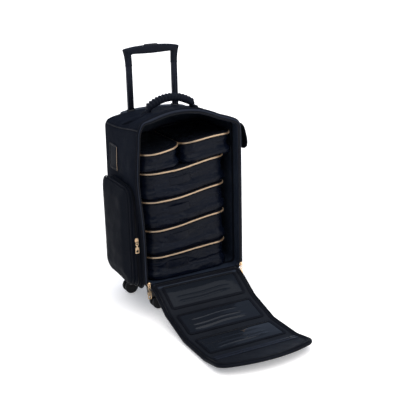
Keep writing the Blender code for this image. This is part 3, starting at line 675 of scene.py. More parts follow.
GUSSET_PROFILE = (
    (-0.0002, 0.001), (0.0004, -0.003), (-0.0008, -0.0066), (-0.0030, -0.0082), (-0.0060, -0.0084),
    (-0.0100, -0.0080), (-0.0124, -0.0070), (-0.0134, -0.0052), (-0.0133, -0.002), (-0.0128, 0.001),
)


def opening_rim():
    """The zip gusset round the opening, with its tape, coil and stitches, open where the door hangs."""
    row = body_outline(FRONT_Y)
    keep = ~((np.abs(row[:, 0]) < 0.151) & (row[:, 2] < 0.112))
    start = int(np.argmax(keep & ~np.roll(keep, 1)))
    order = [(start + step) % len(row) for step in range(int(keep.sum()))]
    path, out = swayed(row[order]), outward(row)[order]
    flip = 1.0 if framed(path, out)[1][len(path) // 2][1] > 0 else -1.0
    width = 1 - 0.40 * smoothstep(-path[:, 0], 0.13, 0.17)
    gusset = Shape().sweep(path, out, np.array(GUSSET_PROFILE) * (1.0, flip), scale=width)
    # The gusset's lighter nylon carries painted light on the front-facing rim.
    gusset.object("opening_gusset", "gusset", replaces=("front_zip_frame",))

    def inwards(depth, forward):
        return path - (out * depth + BACK * forward) * width[:, None]

    tape = Shape().sweep(inwards(0.0085, 0.0083), FRONT, band(0.0010, 0.0075), scale=width)
    tape.object("opening_zip_tape", "trim")
    Shape().teeth(inwards(0.0095, 0.0088), FRONT).object("opening_zip_coil", "black_plastic")
    Shape().stitches(inwards(0.0035, 0.0080), FRONT).object("opening_stitching", "thread")


puffed_rows = outer_skin()
lining()
seam_piping(puffed_rows)
opening_rim()

# --------------------------------------------------------------------- door

HINGE = (FRONT_Y - 0.0045, 0.112)
# The door's four panels at rest, in degrees from upright, and the folds between them.
PANEL_TURNS = (121.4, 105.8, 90.0, 79.0)
FOLDS = (0.125, 0.250, 0.380)
FOLD_REACH = 0.014
DOOR_HALF = 0.157
DOOR_FACE = 0.004
DOOR_CUTS = (0.1875, 0.315)
HINGE_SINK = 0.0040


def world(place):
    """A place in the case's frame, as a tuple in the row frame."""
    return tuple(np.asarray(place) + CASE)


def door_turn(s):
    """The door's direction at a length s from its hinge, in radians from upright."""
    turn = np.full(np.shape(s), PANEL_TURNS[0])
    for fold, before, after in zip(FOLDS, PANEL_TURNS, PANEL_TURNS[1:]):
        turn = turn + (after - before) * smoothstep(s, fold - FOLD_REACH, fold + FOLD_REACH)
    return np.radians(turn)


def door_track(track, start, rates):
    """One coordinate along the door, from its rates of change and where it starts at the hinge."""
    run = start + np.concatenate([[0], np.cumsum(rates * np.diff(track))])
    return run - (np.interp(0.0, track, run) - start)


DOOR_TRACK = np.linspace(-0.02, 0.62, 2561)
DOOR_MIDDLES = door_turn((DOOR_TRACK[1:] + DOOR_TRACK[:-1]) / 2)
DOOR_Y = door_track(DOOR_TRACK, HINGE[0], -np.sin(DOOR_MIDDLES))
DOOR_Z = door_track(DOOR_TRACK, HINGE[1], np.cos(DOOR_MIDDLES))


def door_points(x, s, height):
    """Places on the door: x across, s from the hinge, height off its middle towards its inner face."""
    turn = door_turn(s)
    height = height - HINGE_SINK * (1 - smoothstep(s, 0.014, 0.050))
    y = np.interp(s, DOOR_TRACK, DOOR_Y) + height * np.cos(turn)
    z = np.interp(s, DOOR_TRACK, DOOR_Z) + height * np.sin(turn)
    return columns(x, y, z)


def door_normals(s):
    turn = door_turn(s)
    return columns(0.0, np.cos(turn), np.sin(turn))


def door_flat(inset=0.0):
    """The door's outline as (x, s), from its foot's middle round by the right."""
    radii = (0.038 - inset, 0.012 - 0.4 * inset)
    flat = arch_outline(DOOR_HALF - inset, inset, 0.483 - inset, SLOPE[0], *radii, 10)
    return evened(flat[:-1], 600)


def door_runs(inset):
    """The outline in the runs that the door's three lengths carry."""
    flat = door_flat(inset)
    first, second = DOOR_CUTS
    half = DOOR_HALF - inset
    low = flat[flat[:, 1] <= first]
    turn = int(np.argmax((low[:, 0] < 0) & (np.roll(low[:, 0], 1) > 0) & (low[:, 1] > 0.05)))
    low = np.vstack([[[-half, first]], np.roll(low, -turn, axis=0), [[half, first]]])
    high = np.vstack([[[half, second]], flat[flat[:, 1] >= second], [[-half, second]]])
    steps = np.linspace(first, second, 34)
    sides = [np.stack([np.full(34, sign * half), steps], axis=1) for sign in (1, -1)]
    return {"lower": [low], "middle": sides, "upper": [high]}


# Each length of the door, shaped across one fold: its two bodies, its fold, and the CAD nodes its lining stands
# for.
DOOR_BENDS = {
    "lower": ("door_lower", "door_middle", FOLDS[0], ("door_lower_panel", "door_middle_panel")),
    "middle": ("door_middle", "door_upper", FOLDS[1], ("door_upper_panel",)),
    "upper": ("door_upper", "door_tip", FOLDS[2], ("door_tip_panel",)),
}


def bend(obj, length):
    """Bakes a length of the door's placement into its mesh."""
    first, second, fold, _ = DOOR_BENDS[length]
    start, end = (world(door_points(0.0, fold + step, 0.0)) for step in (-FOLD_REACH, FOLD_REACH))
    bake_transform(obj)


def edge_distance(x, s):
    """The door's half width at a length s, and how far a place on the door is inside its outline."""
    right = door_flat()[:300]
    right = right[right[:, 0] >= 0]
    order = np.argsort(right[:, 1])
    half = np.interp(s, right[order, 1], right[order, 0])
    top, foot = (part[np.argsort(part[:, 0])] for part in (right[right[:, 1] > 0.3], right[right[:, 1] < 0.1]))
    above = np.interp(np.abs(x), top[:, 0], top[:, 1]) - s
    below = s - np.interp(np.abs(x), foot[:, 0], foot[:, 1])
    return half, np.maximum(np.minimum(np.minimum(half - np.abs(x), above), below), 0)


def door_skin(length, start, end):
    """One length of the padded door, its inner lining and its outer nylon."""
    straight_end = min(end, 0.43)
    steps = np.linspace(start, straight_end, int((straight_end - start) / 0.005) + 2)
    if end > 0.43:
        steps = np.concatenate([steps, np.linspace(0.43, door_flat()[:, 1].max() - 0.0002, 46)[1:]])
    if start < 0.01:
        steps = np.concatenate([np.linspace(0.0055, 0.034, 12), steps[steps > 0.036]])
    across = np.linspace(-1, 1, 61)
    spread = np.sin(across * math.pi / 2) * 0.75 + across * 0.25
    for face, material, sign in (("lining", "door_cloth", 1), ("outer", "nylon", -1)):
        rows = []
        for s in steps:
            x = spread * edge_distance(0.0, s)[0]
            inside = edge_distance(x, np.full_like(x, s))[1]
            height = DOOR_FACE * np.sqrt(1 - (1 - np.clip(inside / 0.004, 0, 1)) ** 2)
            if sign < 0:
                panel = smoothstep(inside, 0.020, 0.034)
                height = height - 0.0016 * smoothstep(inside, 0.004, 0.016) * (1 - panel) + 0.0008 * panel
            creases = rough(columns(x, s, 0.0), 22.0, 4.0 + sign) * 0.0007 - 0.0003
            rows.append(door_points(x, s, sign * (height + creases * smoothstep(inside, 0.004, 0.02))))
        replaced = DOOR_BENDS[length][3] if sign > 0 else ()
        bend(Shape().grid(rows).object("door_" + length + "_" + face, material, None, replaced), length)


def edge_piece(piece, material, draw, *layers):
    """A piece round the door in each of its lengths. layers are (inset, height), inwards from the middle."""
    for length in DOOR_BENDS:
        shape = Shape()
        for inset, height in layers:
            for run in door_runs(inset)[length]:
                normals = door_normals(run[:, 1])
                draw(shape, door_points(run[:, 0], run[:, 1], height), -normals if height < 0 else normals)
        bend(shape.object("door_" + length + piece, material, None), length)


def door_edges():
    """Binding, zip tape, coil and stitches round the door."""

    def binding(shape, path, normals):
        shape.sweep(path, unit(np.cross(np.gradient(path, axis=0), normals)), oval(0.0028, 0.0050, 10))

    def tape(shape, path, normals):
        shape.sweep(path, normals, band(0.0014, 0.0120))

    edge_piece("_binding", "trim", binding, (-0.0008, 0.0))
    edge_piece("_zip_tape", "trim", tape, (0.0085, DOOR_FACE + 0.0006))
    edge_piece("_zip_coil", "black_plastic", Shape.teeth, (0.0058, DOOR_FACE + 0.0020))
    rows = ((0.0128, DOOR_FACE + 0.0014), (0.0150, DOOR_FACE + 0.0004), (0.018, -DOOR_FACE + 0.0014))
    edge_piece("_stitching", "thread", Shape.stitches, *rows)


POCKETS = {"lower": (0.020, 0.113), "middle": (0.137, 0.236), "upper": (0.264, 0.366)}
POCKET_HALF = 0.1325
FILM_INSET = 0.007
FILM_FOLDS = ((0.82, 0.0026, 0.042), (0.62, 0.0016, 0.034), (0.34, 0.0013, 0.030))


def door_pockets():
    """The clear pockets: a wavy vinyl window in a sewn frame, with a zip along its edge near the case."""
    base, half = DOOR_FACE + 0.0006, POCKET_HALF
    wide = half - FILM_INSET

    def place(flat, lift):
        return door_points(flat[:, 0], flat[:, 1], base + lift)

    def normal(flat):
        return door_normals(flat[:, 1])

    for order, (panel, (low, high)) in enumerate(POCKETS.items()):
        body, name = "door_" + panel, "door_" + panel + "_pocket_"
        x, s = np.meshgrid(np.linspace(-wide, wide, 80), np.linspace(low + FILM_INSET, high - FILM_INSET, 56))
        u = np.clip((x + wide) / (2 * wide), 0, 1)
        v = np.clip((s - low - FILM_INSET) / (high - low - 2 * FILM_INSET), 0, 1)
        rise = 0.0026 * np.sin(math.pi * u) ** 0.5 * np.sin(math.pi * v) ** 0.7
        flat = columns(x, s, order * 0.3) * (0.35, 1.5, 1.0)
        ripple = rough(flat, 26.0, 6.0 + order) * 0.0004 * np.sin(math.pi * v) ** 0.5
        wander = 0.10 * u + 0.020 * np.sin(11.0 * u + order * 2.1)
        fold = sum(height * np.exp(-(((v - at + wander) / width) ** 2)) for at, height, width in FILM_FOLDS)
        fold = fold * smoothstep(u, 0.06, 0.20) * smoothstep(1 - u, 0.12, 0.30)
        film = Shape().grid(door_points(x, s, base + 0.0004 + rise + ripple * 0.8 + fold))
        vinyl_name = "clear_vinyl" if order else "near_vinyl"
        film.object(name + "window", vinyl_name, body, ("door_" + panel + "_clear_pocket",), smooth=0)
        corners = (-half, low), (half, high)
        welt(name + "welt", body, place, normal, *corners, 220, 0.0045, band(0.0018, 0.0090))
        insets = (0.0014, 0.0072)
        window_stitches(name + "stitching", body, place, normal, *corners, 220, insets, 0.0075, 0.001, 0.0017)
        at = low + 0.0050
        out = door_normals(at)
        spots = door_points(np.arange(-half + 0.010, half - 0.010, 0.0020), at, base + 0.0021)
        coil = Shape().blocks(spots, RIGHT, np.cross(out, RIGHT), out, (0.0012, 0.0034, 0.0012))
        coil.object(name + "coil", "black_plastic", body)


def door_end_zip():
    """The long black zip across the door's end panel, with its pull."""
    place, body, name = 0.408, "door_tip", "door_end_zip_"
    out = door_normals(place)
    along = np.cross(out, RIGHT)
    x = np.linspace(-0.138, 0.138, 60)
    tape, pull, sewing = Shape(), Shape(), Shape()
    for offset in (-0.0072, 0.0072):
        tape.sweep(door_points(x, place + offset, DOOR_FACE + 0.0010), out, band(0.0018, 0.0100))
    # The tape takes the gusset's lighter nylon, whose colour is painted light.
    tape.object(name + "tape", "gusset", body, slot="trim")
    spots = door_points(np.arange(-0.136, 0.136, COIL_PITCH), place, DOOR_FACE + 0.0014)
    coil = Shape().blocks(spots, RIGHT, along, out, (0.0013, 0.0048, 0.0016))
    coil.object(name + "coil", "black_plastic", body)
    spot = door_points(0.118, place, DOOR_FACE + 0.0036)
    pull.block(spot, RIGHT, along, out, (0.012, 0.008, 0.0036), 0.75)
    tab = spot - RIGHT * 0.022 - out * 0.0004
    pull.sweep((tab - RIGHT * 0.015, tab + RIGHT * 0.016), out, band(0.0018, 0.0062))
    pull.object(name + "pull", "black_plastic", body)
    for offset in (-0.0115, -0.0030, 0.0030, 0.0115):
        sewing.stitches(door_points(x, place + offset, DOOR_FACE + 0.0020), out)
    sewing.object(name + "stitching", "thread", body)


def hinge_cloth():
    """The cloth that joins the case's floor to the door's foot and bends at the hinge."""
    x = np.linspace(-0.1505, 0.1505, 60)
    faces = []
    for height in (0.0016, -0.0016):
        path = [
            columns(x, FRONT_Y + forward, z + height * share)
            for forward, z, share in ((0.012, 0.1118, 0.5), (0.003, 0.1108, 1), (-0.002, 0.1102, 1))
        ]
        for s, lift in ((0.003, 0.002), (0.008, 0.0028), (0.014, 0.0028), (0.022, 0.0028)):
            half = np.minimum(np.abs(x), edge_distance(0.0, max(s, 0.0056))[0] - 0.002) * np.sign(x)
            path.append(door_points(half, s, lift + height))
        faces.append(path)
    cloth = Shape().grid(faces[0] + faces[1][::-1], close=True).object("door_hinge_cloth", "lining", None)
    end = world(door_points(0.0, 0.008, 0.0))
    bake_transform(cloth)


door_skin("lower", 0.0, DOOR_CUTS[0])
door_skin("middle", *DOOR_CUTS)
door_skin("upper", DOOR_CUTS[1], 0.6)
door_edges()
door_pockets()
door_end_zip()
hinge_cloth()

# ------------------------------------------------------------------ trolley

TUBE_X = 0.081
TUBE_Y = 0.143
TUBE_HALF = (0.0104, 0.0069)


def tube_profile():
    """A rounded tube section with two shallow grooves on its broad faces."""
    half_x, half_y = TUBE_HALF
    across = np.linspace(half_x - 0.0045, -half_x + 0.0045, 15)
    face = np.stack([across, half_y - 0.0009 * np.exp(-(((np.abs(across) - 0.0034) / 0.0009) ** 2))], axis=1)
    right = arc(half_x - 0.004, half_y - 0.004, 0.004, 0, 90, 4)
    left = arc(-half_x + 0.004, half_y - 0.004, 0.004, 90, 180, 4)
    outline = np.vstack([right, face, left])
    return np.vstack([outline, -outline])


def trolley_tubes():
    flat = tube_profile()
    for sign, side in SIDES:
        x, y = (flat + (sign * TUBE_X, TUBE_Y)).T
        shape = Shape().tube([columns(x, y, z) for z in np.linspace(0.345, 0.7595, 7)])
        replaced = ("trolley_inner_tube_" + side,)
        shape.object("trolley_tube_" + side, "tube_metal", "trolley", replaced, smooth=50)
        repaint("trolley_outer_tube_" + side, "tube_metal")


# The grip's outlines from a sleeve's foot to the middle of its bar, as (x, z).
GRIP_OUTER = (
    (-0.0920, 0.7595), (-0.0922, 0.7680), (-0.0930, 0.7780), (-0.0945, 0.7900), (-0.0965, 0.8010),
    (-0.0984, 0.8085), (-0.0992, 0.8128), (-0.0958, 0.8148), (-0.0890, 0.8164), (-0.0740, 0.8190),
    (-0.0540, 0.8212), (-0.0300, 0.8226), (0.0, 0.8230),
)
GRIP_INNER = (
    (-0.0700, 0.7595), (-0.0700, 0.7680), (-0.0702, 0.7760), (-0.0706, 0.7840), (-0.0710, 0.7890),
    (-0.0714, 0.7920), (-0.0718, 0.7945), (-0.0700, 0.7962), (-0.0670, 0.7968), (-0.0600, 0.7970),
    (-0.0460, 0.7965), (-0.0260, 0.7957), (0.0, 0.7953),
)


def grip_contour(contour):
    """A grip outline, evenly spaced, softened and mirrored."""
    contour = np.array(contour)
    half = softened(read_at(np.linspace(0, len(contour) - 1, 70), np.arange(len(contour)), contour), 3)
    return np.vstack([half, half[-2::-1] * (-1.0, 1.0)])


def trolley_grip():
    """The soft-touch grip: slim sleeves that flare into a crowned bar with square shoulders."""
    outer, inner = grip_contour(GRIP_OUTER), grip_contour(GRIP_INNER)
    count = len(outer)
    from_end = np.minimum(np.arange(count), count - 1 - np.arange(count)) / (count // 2)
    half_across = np.interp(from_end, (0, 0.25, 0.5, 0.7, 1), (0.0076, 0.0082, 0.0112, 0.0128, 0.0130))
    rows = []
    for far, near, across in zip(outer, inner, half_across):
        middle, reach = (far + near) / 2, far - near
        half = np.linalg.norm(reach) / 2
        profile = superoval(half, across, 3.4, 32)
        out = np.array([reach[0], 0.0, reach[1]]) / (2 * half)
        rows.append(np.array([middle[0], TUBE_Y, middle[1]]) + profile[:, :1] * out + profile[:, 1:] * BACK)
    shape = Shape().tube(rows)
    for sign, _ in SIDES:
        lip = ((0.7591, 0.0), (0.7597, 0.0005), (0.7613, 0.0006), (0.7621, 0.0))
        shape.tube([disc(0.0112 + grow, 0.0078 + grow, 3.4, 32, sign * TUBE_X, TUBE_Y, z) for z, grow in lip])
    shape.object("trolley_pull_grip", "grip_rubber", "trolley", ("trolley_grip",), smooth=55)
    steps = (
        (0.8120, 0.0232, 0.0072), (0.8225, 0.0232, 0.0072), (0.8245, 0.0228, 0.0068), (0.8254, 0.0215, 0.0056),
        (0.8256, 0.0150, 0.0030),
    )
    button = Shape().tube([disc(half_x, half_y, 5.0, 36, 0.0, TUBE_Y, z) for z, half_x, half_y in steps])
    ribs = columns((-0.012, -0.006, 0.0, 0.006, 0.012), TUBE_Y, 0.8254)
    button.blocks(ribs, RIGHT, BACK, UP, (0.0016, 0.0090, 0.0012), 0.6)
    button.object("trolley_release_button", "black_plastic", "release_button", ("trolley_button",), smooth=50)
    ring = disc(0.0252, 0.0092, 5.0, 48, 0.0, TUBE_Y, 0.8195)
    ring[:, 2] -= 0.0012 * (ring[:, 0] / 0.025) ** 2
    rim = Shape().sweep(ring, UP, oval(0.0016, 0.0013), closed=True)
    rim.object("trolley_button_rim", "black_plastic", "trolley")


def crown_z(x, y):
    """The top skin's height over a place."""
    loop = swayed(body_outline(y))
    loop = loop[loop[:, 2] > 0.45]
    order = np.argsort(loop[:, 0])
    return np.interp(x, loop[order, 0], loop[order, 2])


def bezel():
    """The moulded plate that the tubes rise through, curved to the top, with a lip round each tube."""
    half_x, half_y = 0.116, 0.0165
    steps = (
        (1.0, 1.0, -0.006), (1.0, 1.0, 0.0016), (0.985, 0.985, 0.0028), (0.95, 0.95, 0.0034), (0.5, 0.4, 0.0036),
    )
    rings = []
    for wide, deep, lift in steps:
        ring = disc(half_x * wide, half_y * deep, 6.0, 72, 0.0, TUBE_Y, 0.0)
        ring[:, 2] = crown_z(ring[:, 0], TUBE_Y) - 0.0012 + lift
        rings.append(ring)
    Shape().tube(rings).object("trolley_top_bezel", "black_plastic", "case", ("trolley_bezel",), smooth=50)
    lips = Shape()
    for sign, _ in SIDES:
        ring = disc(0.0132, 0.0098, 4.0, 40, 0.0, TUBE_Y, crown_z(TUBE_X, TUBE_Y) + 0.0026)
        ring[:, 2] -= sign * ring[:, 0] * 0.14
        lips.sweep(ring + RIGHT * sign * TUBE_X, UP, oval(0.0030, 0.0018, 10), closed=True)
    lips.object("trolley_tube_lips", "black_plastic")


trolley_tubes()
trolley_grip()
bezel()

# ------------------------------------------------------------- carry handle

HANDLE_Y = 0.010
HANDLE_Z = 0.640
HANDLE_SPAN = 0.084
HANDLE_RISE = 0.032


def carry_handle():
    """The padded handle with finger scallops along its outer side, its ends turned down to the top."""
    radius = (HANDLE_SPAN**2 + HANDLE_RISE**2) / (2 * HANDLE_RISE)
    reach = math.asin(HANDLE_SPAN / radius)
    rows = []
    for angle in np.linspace(-reach, reach, 190):
        share = abs(angle) / reach
        out = np.array([math.sin(angle), 0.0, math.cos(angle)])
        turned = smoothstep(share, 0.80, 1.0) ** 2
        end = smoothstep(share, 0.90, 1.0)
        x = radius * out[0] - 0.0035 * turned * math.copysign(1.0, angle)
        centre = np.array([x, HANDLE_Y, HANDLE_Z + radius * (out[2] - 1) + HANDLE_RISE - 0.0075 * turned])
        rib = 0.5 + 0.5 * math.cos(math.tau * angle * radius / 0.0110)
        ribbed = smoothstep(1 - share, 0.04, 0.12)
        profile = superoval(0.0104 - 0.0020 * end, 0.0142 - 0.0034 * end, 2.5, 24)
        outer_side = smoothstep(profile[:, 0], -0.002, 0.007)
        profile[:, 0] += outer_side * (rib * 0.0036 * ribbed - 0.0010)
        profile[:, 0] -= (1 - outer_side) * 0.0028 * smoothstep(1 - share, 0.05, 0.35)
        profile[:, 1] *= 1 + 0.05 * (rib - 0.5) * ribbed
        rows.append(centre + profile[:, :1] * out + profile[:, 1:] * BACK)
    Shape().tube(rows).object("carry_handle_grip", "grip_rubber", "carry_handle", ("carry_handle",), smooth=60)


# Where the cord under the cloth runs on from each end of the handle, as (x, y).
HANDLE_FOLDS = {
    "left": (
        (-0.080, 0.008), (-0.094, -0.008), (-0.110, -0.026), (-0.128, -0.040), (-0.145, -0.046),
        (-0.156, -0.038), (-0.161, -0.014), (-0.161, 0.018),
    ),
    "right": ((0.080, 0.008), (0.092, 0.010), (0.104, 0.020), (0.114, 0.038), (0.120, 0.062)),
}


def on_crown(flat, lift):
    return np.array([[x, y, crown_z(x, y) + lift] for x, y in flat])


def handle_mounts():
    """Low sewn anchors, with a cord under the cloth that runs on from each."""
    for sign, side in SIDES:
        base = crown_z(sign * 0.086, HANDLE_Y)
        steps = (
            (base - 0.005, 0.0130, 0.0190), (base + 0.0005, 0.0124, 0.0184), (base + 0.0030, 0.0100, 0.0170),
            (HANDLE_Z - 0.0075, 0.0072, 0.0150), (HANDLE_Z - 0.0045, 0.0060, 0.0134),
            (HANDLE_Z - 0.0035, 0.0034, 0.0090),
        )
        anchor = Shape().tube([disc(a, b, 3.0, 36, sign * 0.0875, HANDLE_Y, z) for z, a, b in steps])
        anchor.object("handle_anchor_" + side, "trim", "case", ("handle_mount_" + side,), smooth=50)
        path = on_crown(softened(resampled(HANDLE_FOLDS[side], 60)[0], 6), 0.0)
        path[:, 2] += 0.0012 - 0.0045 * smoothstep(np.linspace(0, 1, 60), 0.80, 1.0)
        Shape().sweep(path, UP, oval(0.0034, 0.0052, 12)).object("handle_cord_" + side, "nylon")
        sewing = Shape()
        across = unit(np.cross(np.gradient(path, axis=0), UP))
        for shift in (-0.0068, 0.0068):
            line = path[4:48] + across[4:48] * shift
            sewing.stitches(on_crown(line[:, :2], 0.0012), UP)
        sewing.object("handle_stitching_" + side, "thread")


carry_handle()
handle_mounts()

# ------------------------------------------------------------------ pouches

POUCH_FLOOR = 0.113
POUCH_HEIGHT = 0.0915
SMALL_HEIGHT = 0.076
SEAM_DROP = 0.0090
# How far the stack has been pushed up on the right and has slumped on the left: heights, then lifts.
POUCH_LIFT = ((0.113, 0.205, 0.296, 0.388, 0.479, 0.555), (0.0, 0.004, 0.014, 0.017, 0.017, 0.014))
POUCH_SAG = ((0.113, 0.197, 0.288, 0.380, 0.471, 0.555), (0.0, -0.005, -0.008, -0.004, -0.003, -0.019))


def settle(x, z):
    """How far the stack has moved up or down at a place."""
    lift = np.interp(z, *POUCH_LIFT) * smoothstep(x, -0.06, 0.115)
    return lift + np.interp(z, *POUCH_SAG) * smoothstep(-x, -0.02, 0.13)


def pouch_plan(low, high, radii, yaw, count):
    """A pouch's outline from above. radii start front left, and yaw draws the front back at its right."""
    corners = (
        (high[0], low[1], 270, radii[1]), (high[0], high[1], 0, radii[2]), (low[0], high[1], 90, radii[3]),
        (low[0], low[1], 180, radii[0]),
    )
    flat = []
    for x, y, start, radius in corners:
        centre = (x + radius * (1 if x == low[0] else -1), y + radius * (1 if y == low[1] else -1))
        flat.append(arc(*centre, radius, start, start + 90, 10))
    flat = evened(np.vstack(flat), count)
    front = smoothstep(-flat[:, 1], -(low[1] + high[1]) / 2, -low[1])
    flat[:, 1] += yaw * smoothstep(flat[:, 0], low[0] + 0.3 * (high[0] - low[0]), high[0]) * front
    return flat


def plan_points(flat, z):
    """A pouch's outline at a height, slumped, and pushed out to the left where the jamb bows."""
    points = columns(flat[:, 0], flat[:, 1], z + settle(flat[:, 0], z))
    bow = 0.0115 * jamb_bow(points[:, 2]) * smoothstep(-points[:, 0], 0.06, 0.155)
    points[:, 0] -= bow * smoothstep(-points[:, 1], 0.0, 0.08)
    return points


# A tub's side: how far up it, and how far in or out it stands there.
TUB_SIDE = np.array([
    (0.000, -0.0120), (0.004, -0.0050), (0.012, -0.0010), (0.06, 0.0018), (0.14, 0.0040), (0.22, 0.0042),
    (0.29, 0.0022), (0.37, -0.0016), (0.45, -0.0036), (0.58, -0.0038), (0.70, -0.0040), (0.82, -0.0052),
    (0.90, -0.0058), (0.96, -0.0050), (1.00, -0.0026),
])


def pouch(name, low, high, floor, height, radii, yaw, seed, strap):
    """A zipped pouch: a slumped fabric tub, gold zip, and a lid with a clear window."""
    flat = pouch_plan(low, high, radii, yaw, 260 if high[0] - low[0] > 0.2 else 180)
    away = level_outward(flat)
    seam, lid_top = floor + height - SEAM_DROP, floor + height - 0.0014

    def ring(z, inset):
        return plan_points(flat, z) - away * inset

    tub_cloth(name, flat, away, floor, seam, seed)
    steps = (
        (0.0022, seam + 0.0028), (0.0016, seam + 0.0050), (0.0040, lid_top - 0.0012),
        (0.0075, lid_top - 0.0002), (0.0120, lid_top), (0.0190, lid_top - 0.0004),
        (0.0192, lid_top - 0.0022), (0.0060, seam + 0.0026),
    )
    border = Shape().grid([ring(z, inset) for inset, z in steps], wrap=True, close=True)
    border.object(name + "_lid_border", "lid", name, (name + "_lid",), smooth=50)
    edge = ring(lid_top - 0.0014, 0.0180)
    centre = edge.mean(axis=0)
    rings = []
    for share in np.linspace(1, 0, 14)[:-1]:
        row = centre + (edge - centre) * share
        row[:, 2] += rough(row, 24.0, seed + 7) * 0.0010 * math.sin(math.pi * share) - 0.0012 * (1 - share**2)
        rings.append(row)
    Shape().grid(rings, wrap=True).lid(rings[-1]).object(name + "_lid_window", "clear_vinyl", name, smooth=0)

    line = ring(seam, 0.0012)
    facing = unit(away + UP * 0.22)
    tapes, piping = Shape(), Shape()
    for shift, inset in ((0.0034, 0.0010), (-0.0034, 0.0008)):
        tapes.sweep(line + UP * shift - away * inset, facing, band(0.0012, 0.0050), closed=True)
    tapes.object(name + "_zip_tape", "trim", name)
    teeth = Shape().sweep(line, facing, band(0.0016, 0.0036), closed=True)
    teeth.teeth(line, facing, 0.0019, (0.0014, 0.0034, 0.0018), 0.75, closed=True, zigzag=0.0013, lift=0.0008)
    teeth.object(name + "_zip_teeth", "gold_zip", name, smooth=30)
    for z, inset in ((seam - 0.0062, 0.0028), (floor + 0.0040, 0.0064)):
        piping.sweep(ring(z, inset), away, oval(0.0011, 0.0013, 6), closed=True)
    piping.object(name + "_piping", "trim", name)
    Shape().stitches(ring(lid_top, 0.0095), UP, closed=True).object(name + "_stitching", "thread", name)

    place = int(np.argmin(np.abs(flat[:, 0] - high[0]) + np.abs(flat[:, 1] + 0.035)))
    spot, out = line[place], away[place]
    slider = Shape().block(spot + out * 0.0030, BACK, UP, out, (0.0090, 0.0070, 0.0036), 0.8)
    tab = [spot + out * 0.0052 - UP * drop for drop in (0.0, 0.006, 0.012, 0.018)]
    slider.sweep(tab, out, band(0.0012, 0.0050)).object(name + "_zip_slider", "gold", name)
    if strap:
        front = flat[flat[:, 1] < (low[1] + high[1]) / 2]
        pull_strap(name, front, *strap, (strap[2] - floor) / (seam - floor))


def tub_cloth(name, flat, away, floor, seam, seed):
    """The tub's creased outer cloth and its lining."""
    outer, inner = [], []
    for share in np.concatenate([np.linspace(0, 0.05, 5), np.linspace(0.09, 1, 24)]):
        points = plan_points(flat, floor + 0.0004 + (seam - floor - 0.0028) * share)
        crease = rough(points * (0.55, 0.55, 2.6), 17.0, seed) * 0.0048
        crease += rough(points * (0.5, 0.5, 1.8), 44.0, seed + 3) * 0.0016
        slack = math.sin(math.pi * min(share * 1.05, 1.0)) ** 0.6
        offset = (np.interp(share, *TUB_SIDE.T) - np.abs(crease) * slack)[:, None]
        outer.append(points + away * offset)
        within = points + away * (offset - 0.0025)
        within[:, 2] = np.maximum(within[:, 2], floor + 0.0030)
        inner.append(within)
    tub = Shape().grid(outer, wrap=True).grid(inner, wrap=True).grid([outer[-1], inner[-1]], wrap=True)
    tub.lid(outer[0]).lid(inner[0]).object(name + "_fabric", "pouch", name, (name + "_tub",), smooth=0)


def pull_strap(name, front, middle, half, z, share):
    """A sewn strap across a pouch's front, bowed out between its ends."""
    front = front[np.abs(front[:, 0] - middle) < half + 0.01]
    order = np.argsort(front[:, 0])
    x = np.linspace(middle - half, middle + half, 26)
    lift = 0.0052 * np.sin(math.pi * np.clip((x - middle + half) / (2 * half), 0, 1)) ** 0.5 - 0.0030
    y = np.interp(x, front[order, 0], front[order, 1]) - np.interp(share, *TUB_SIDE.T) - lift
    line = columns(x, y, z + settle(x, z))
    Shape().sweep(line, FRONT, band(0.0020, 0.0240)).object(name + "_pull_strap", "pouch", name)
    sewing = Shape()
    for end in (x[0] + 0.004, x[-1] - 0.004):
        down = np.linspace(z - 0.010, z + 0.010, 10) + settle(end, z)
        sewing.stitches(columns(end, np.interp(end, x, y) - 0.0012, down), FRONT, 0.0032, 0.0024)
    for shift in (-0.0102, 0.0102):
        sewing.stitches(line + (0, -0.0012, shift), FRONT)
    sewing.object(name + "_strap_stitching", "thread", name)


def pouches():
    for order, level in enumerate(("bottom", "lower", "upper", "top")):
        name = "pouch_" + level
        low, high = case_box(name + "_tub")
        floor = POUCH_FLOOR + order * POUCH_HEIGHT
        strap = (-0.052 + 0.006 * order, 0.040, floor + 0.048)
        radii = (0.054, 0.046, 0.030, 0.030)
        pouch(name, low, high, floor, POUCH_HEIGHT, radii, 0.012, 11.0 + order * 5, strap)
    floor = POUCH_FLOOR + 4 * POUCH_HEIGHT
    for name, right, seed in (("small_pouch_left", 0.038, 41.0), ("small_pouch_right", 0.034, 47.0)):
        low, high = case_box(name + "_tub")
        pouch(name, low, high, floor, SMALL_HEIGHT, (0.044, right, 0.030, 0.030), 0.006, seed, None)


pouches()

# -------------------------------------------------------------- side pocket

POCKET_FACE = -0.1753
POCKET_LOW = np.array([-0.110, 0.112])
POCKET_HIGH = np.array([0.100, 0.428])
POCKET_DEPTH = 0.030
COVER_FACE = POCKET_FACE - POCKET_DEPTH
COVER_ROUND = 0.0125


def pocket_loop(inset):
    """The pocket's outline as (y, z)."""
    return inset_path(POCKET_LOW, POCKET_HIGH, inset, max(0.035 - inset, 0.004), 220, 10)


def drooped(points):
    """The pocket's sag: its lower front corner hangs, most of all next to the case."""
    moved = points.copy()
    x, y, z = np.moveaxis(points, -1, 0)
    near = 0.25 + 0.75 * smoothstep(x, POCKET_FACE - 0.030, POCKET_FACE)
    moved[..., 2] -= 0.024 * near * smoothstep(-y, -0.03, 0.11) * smoothstep(-z, -0.30, -0.13)
    moved[..., 1] -= 0.009 * near * smoothstep(-y, -0.02, 0.11) * smoothstep(-z, -0.34, -0.13)
    return moved


def mesh_points(mesh):
    flat = np.empty(len(mesh.vertices) * 3)
    mesh.vertices.foreach_get("co", flat)
    return flat.reshape(-1, 3)


def evaluated_mesh(obj):
    return bpy.data.meshes.new_from_object(obj.evaluated_get(bpy.context.evaluated_depsgraph_get()))


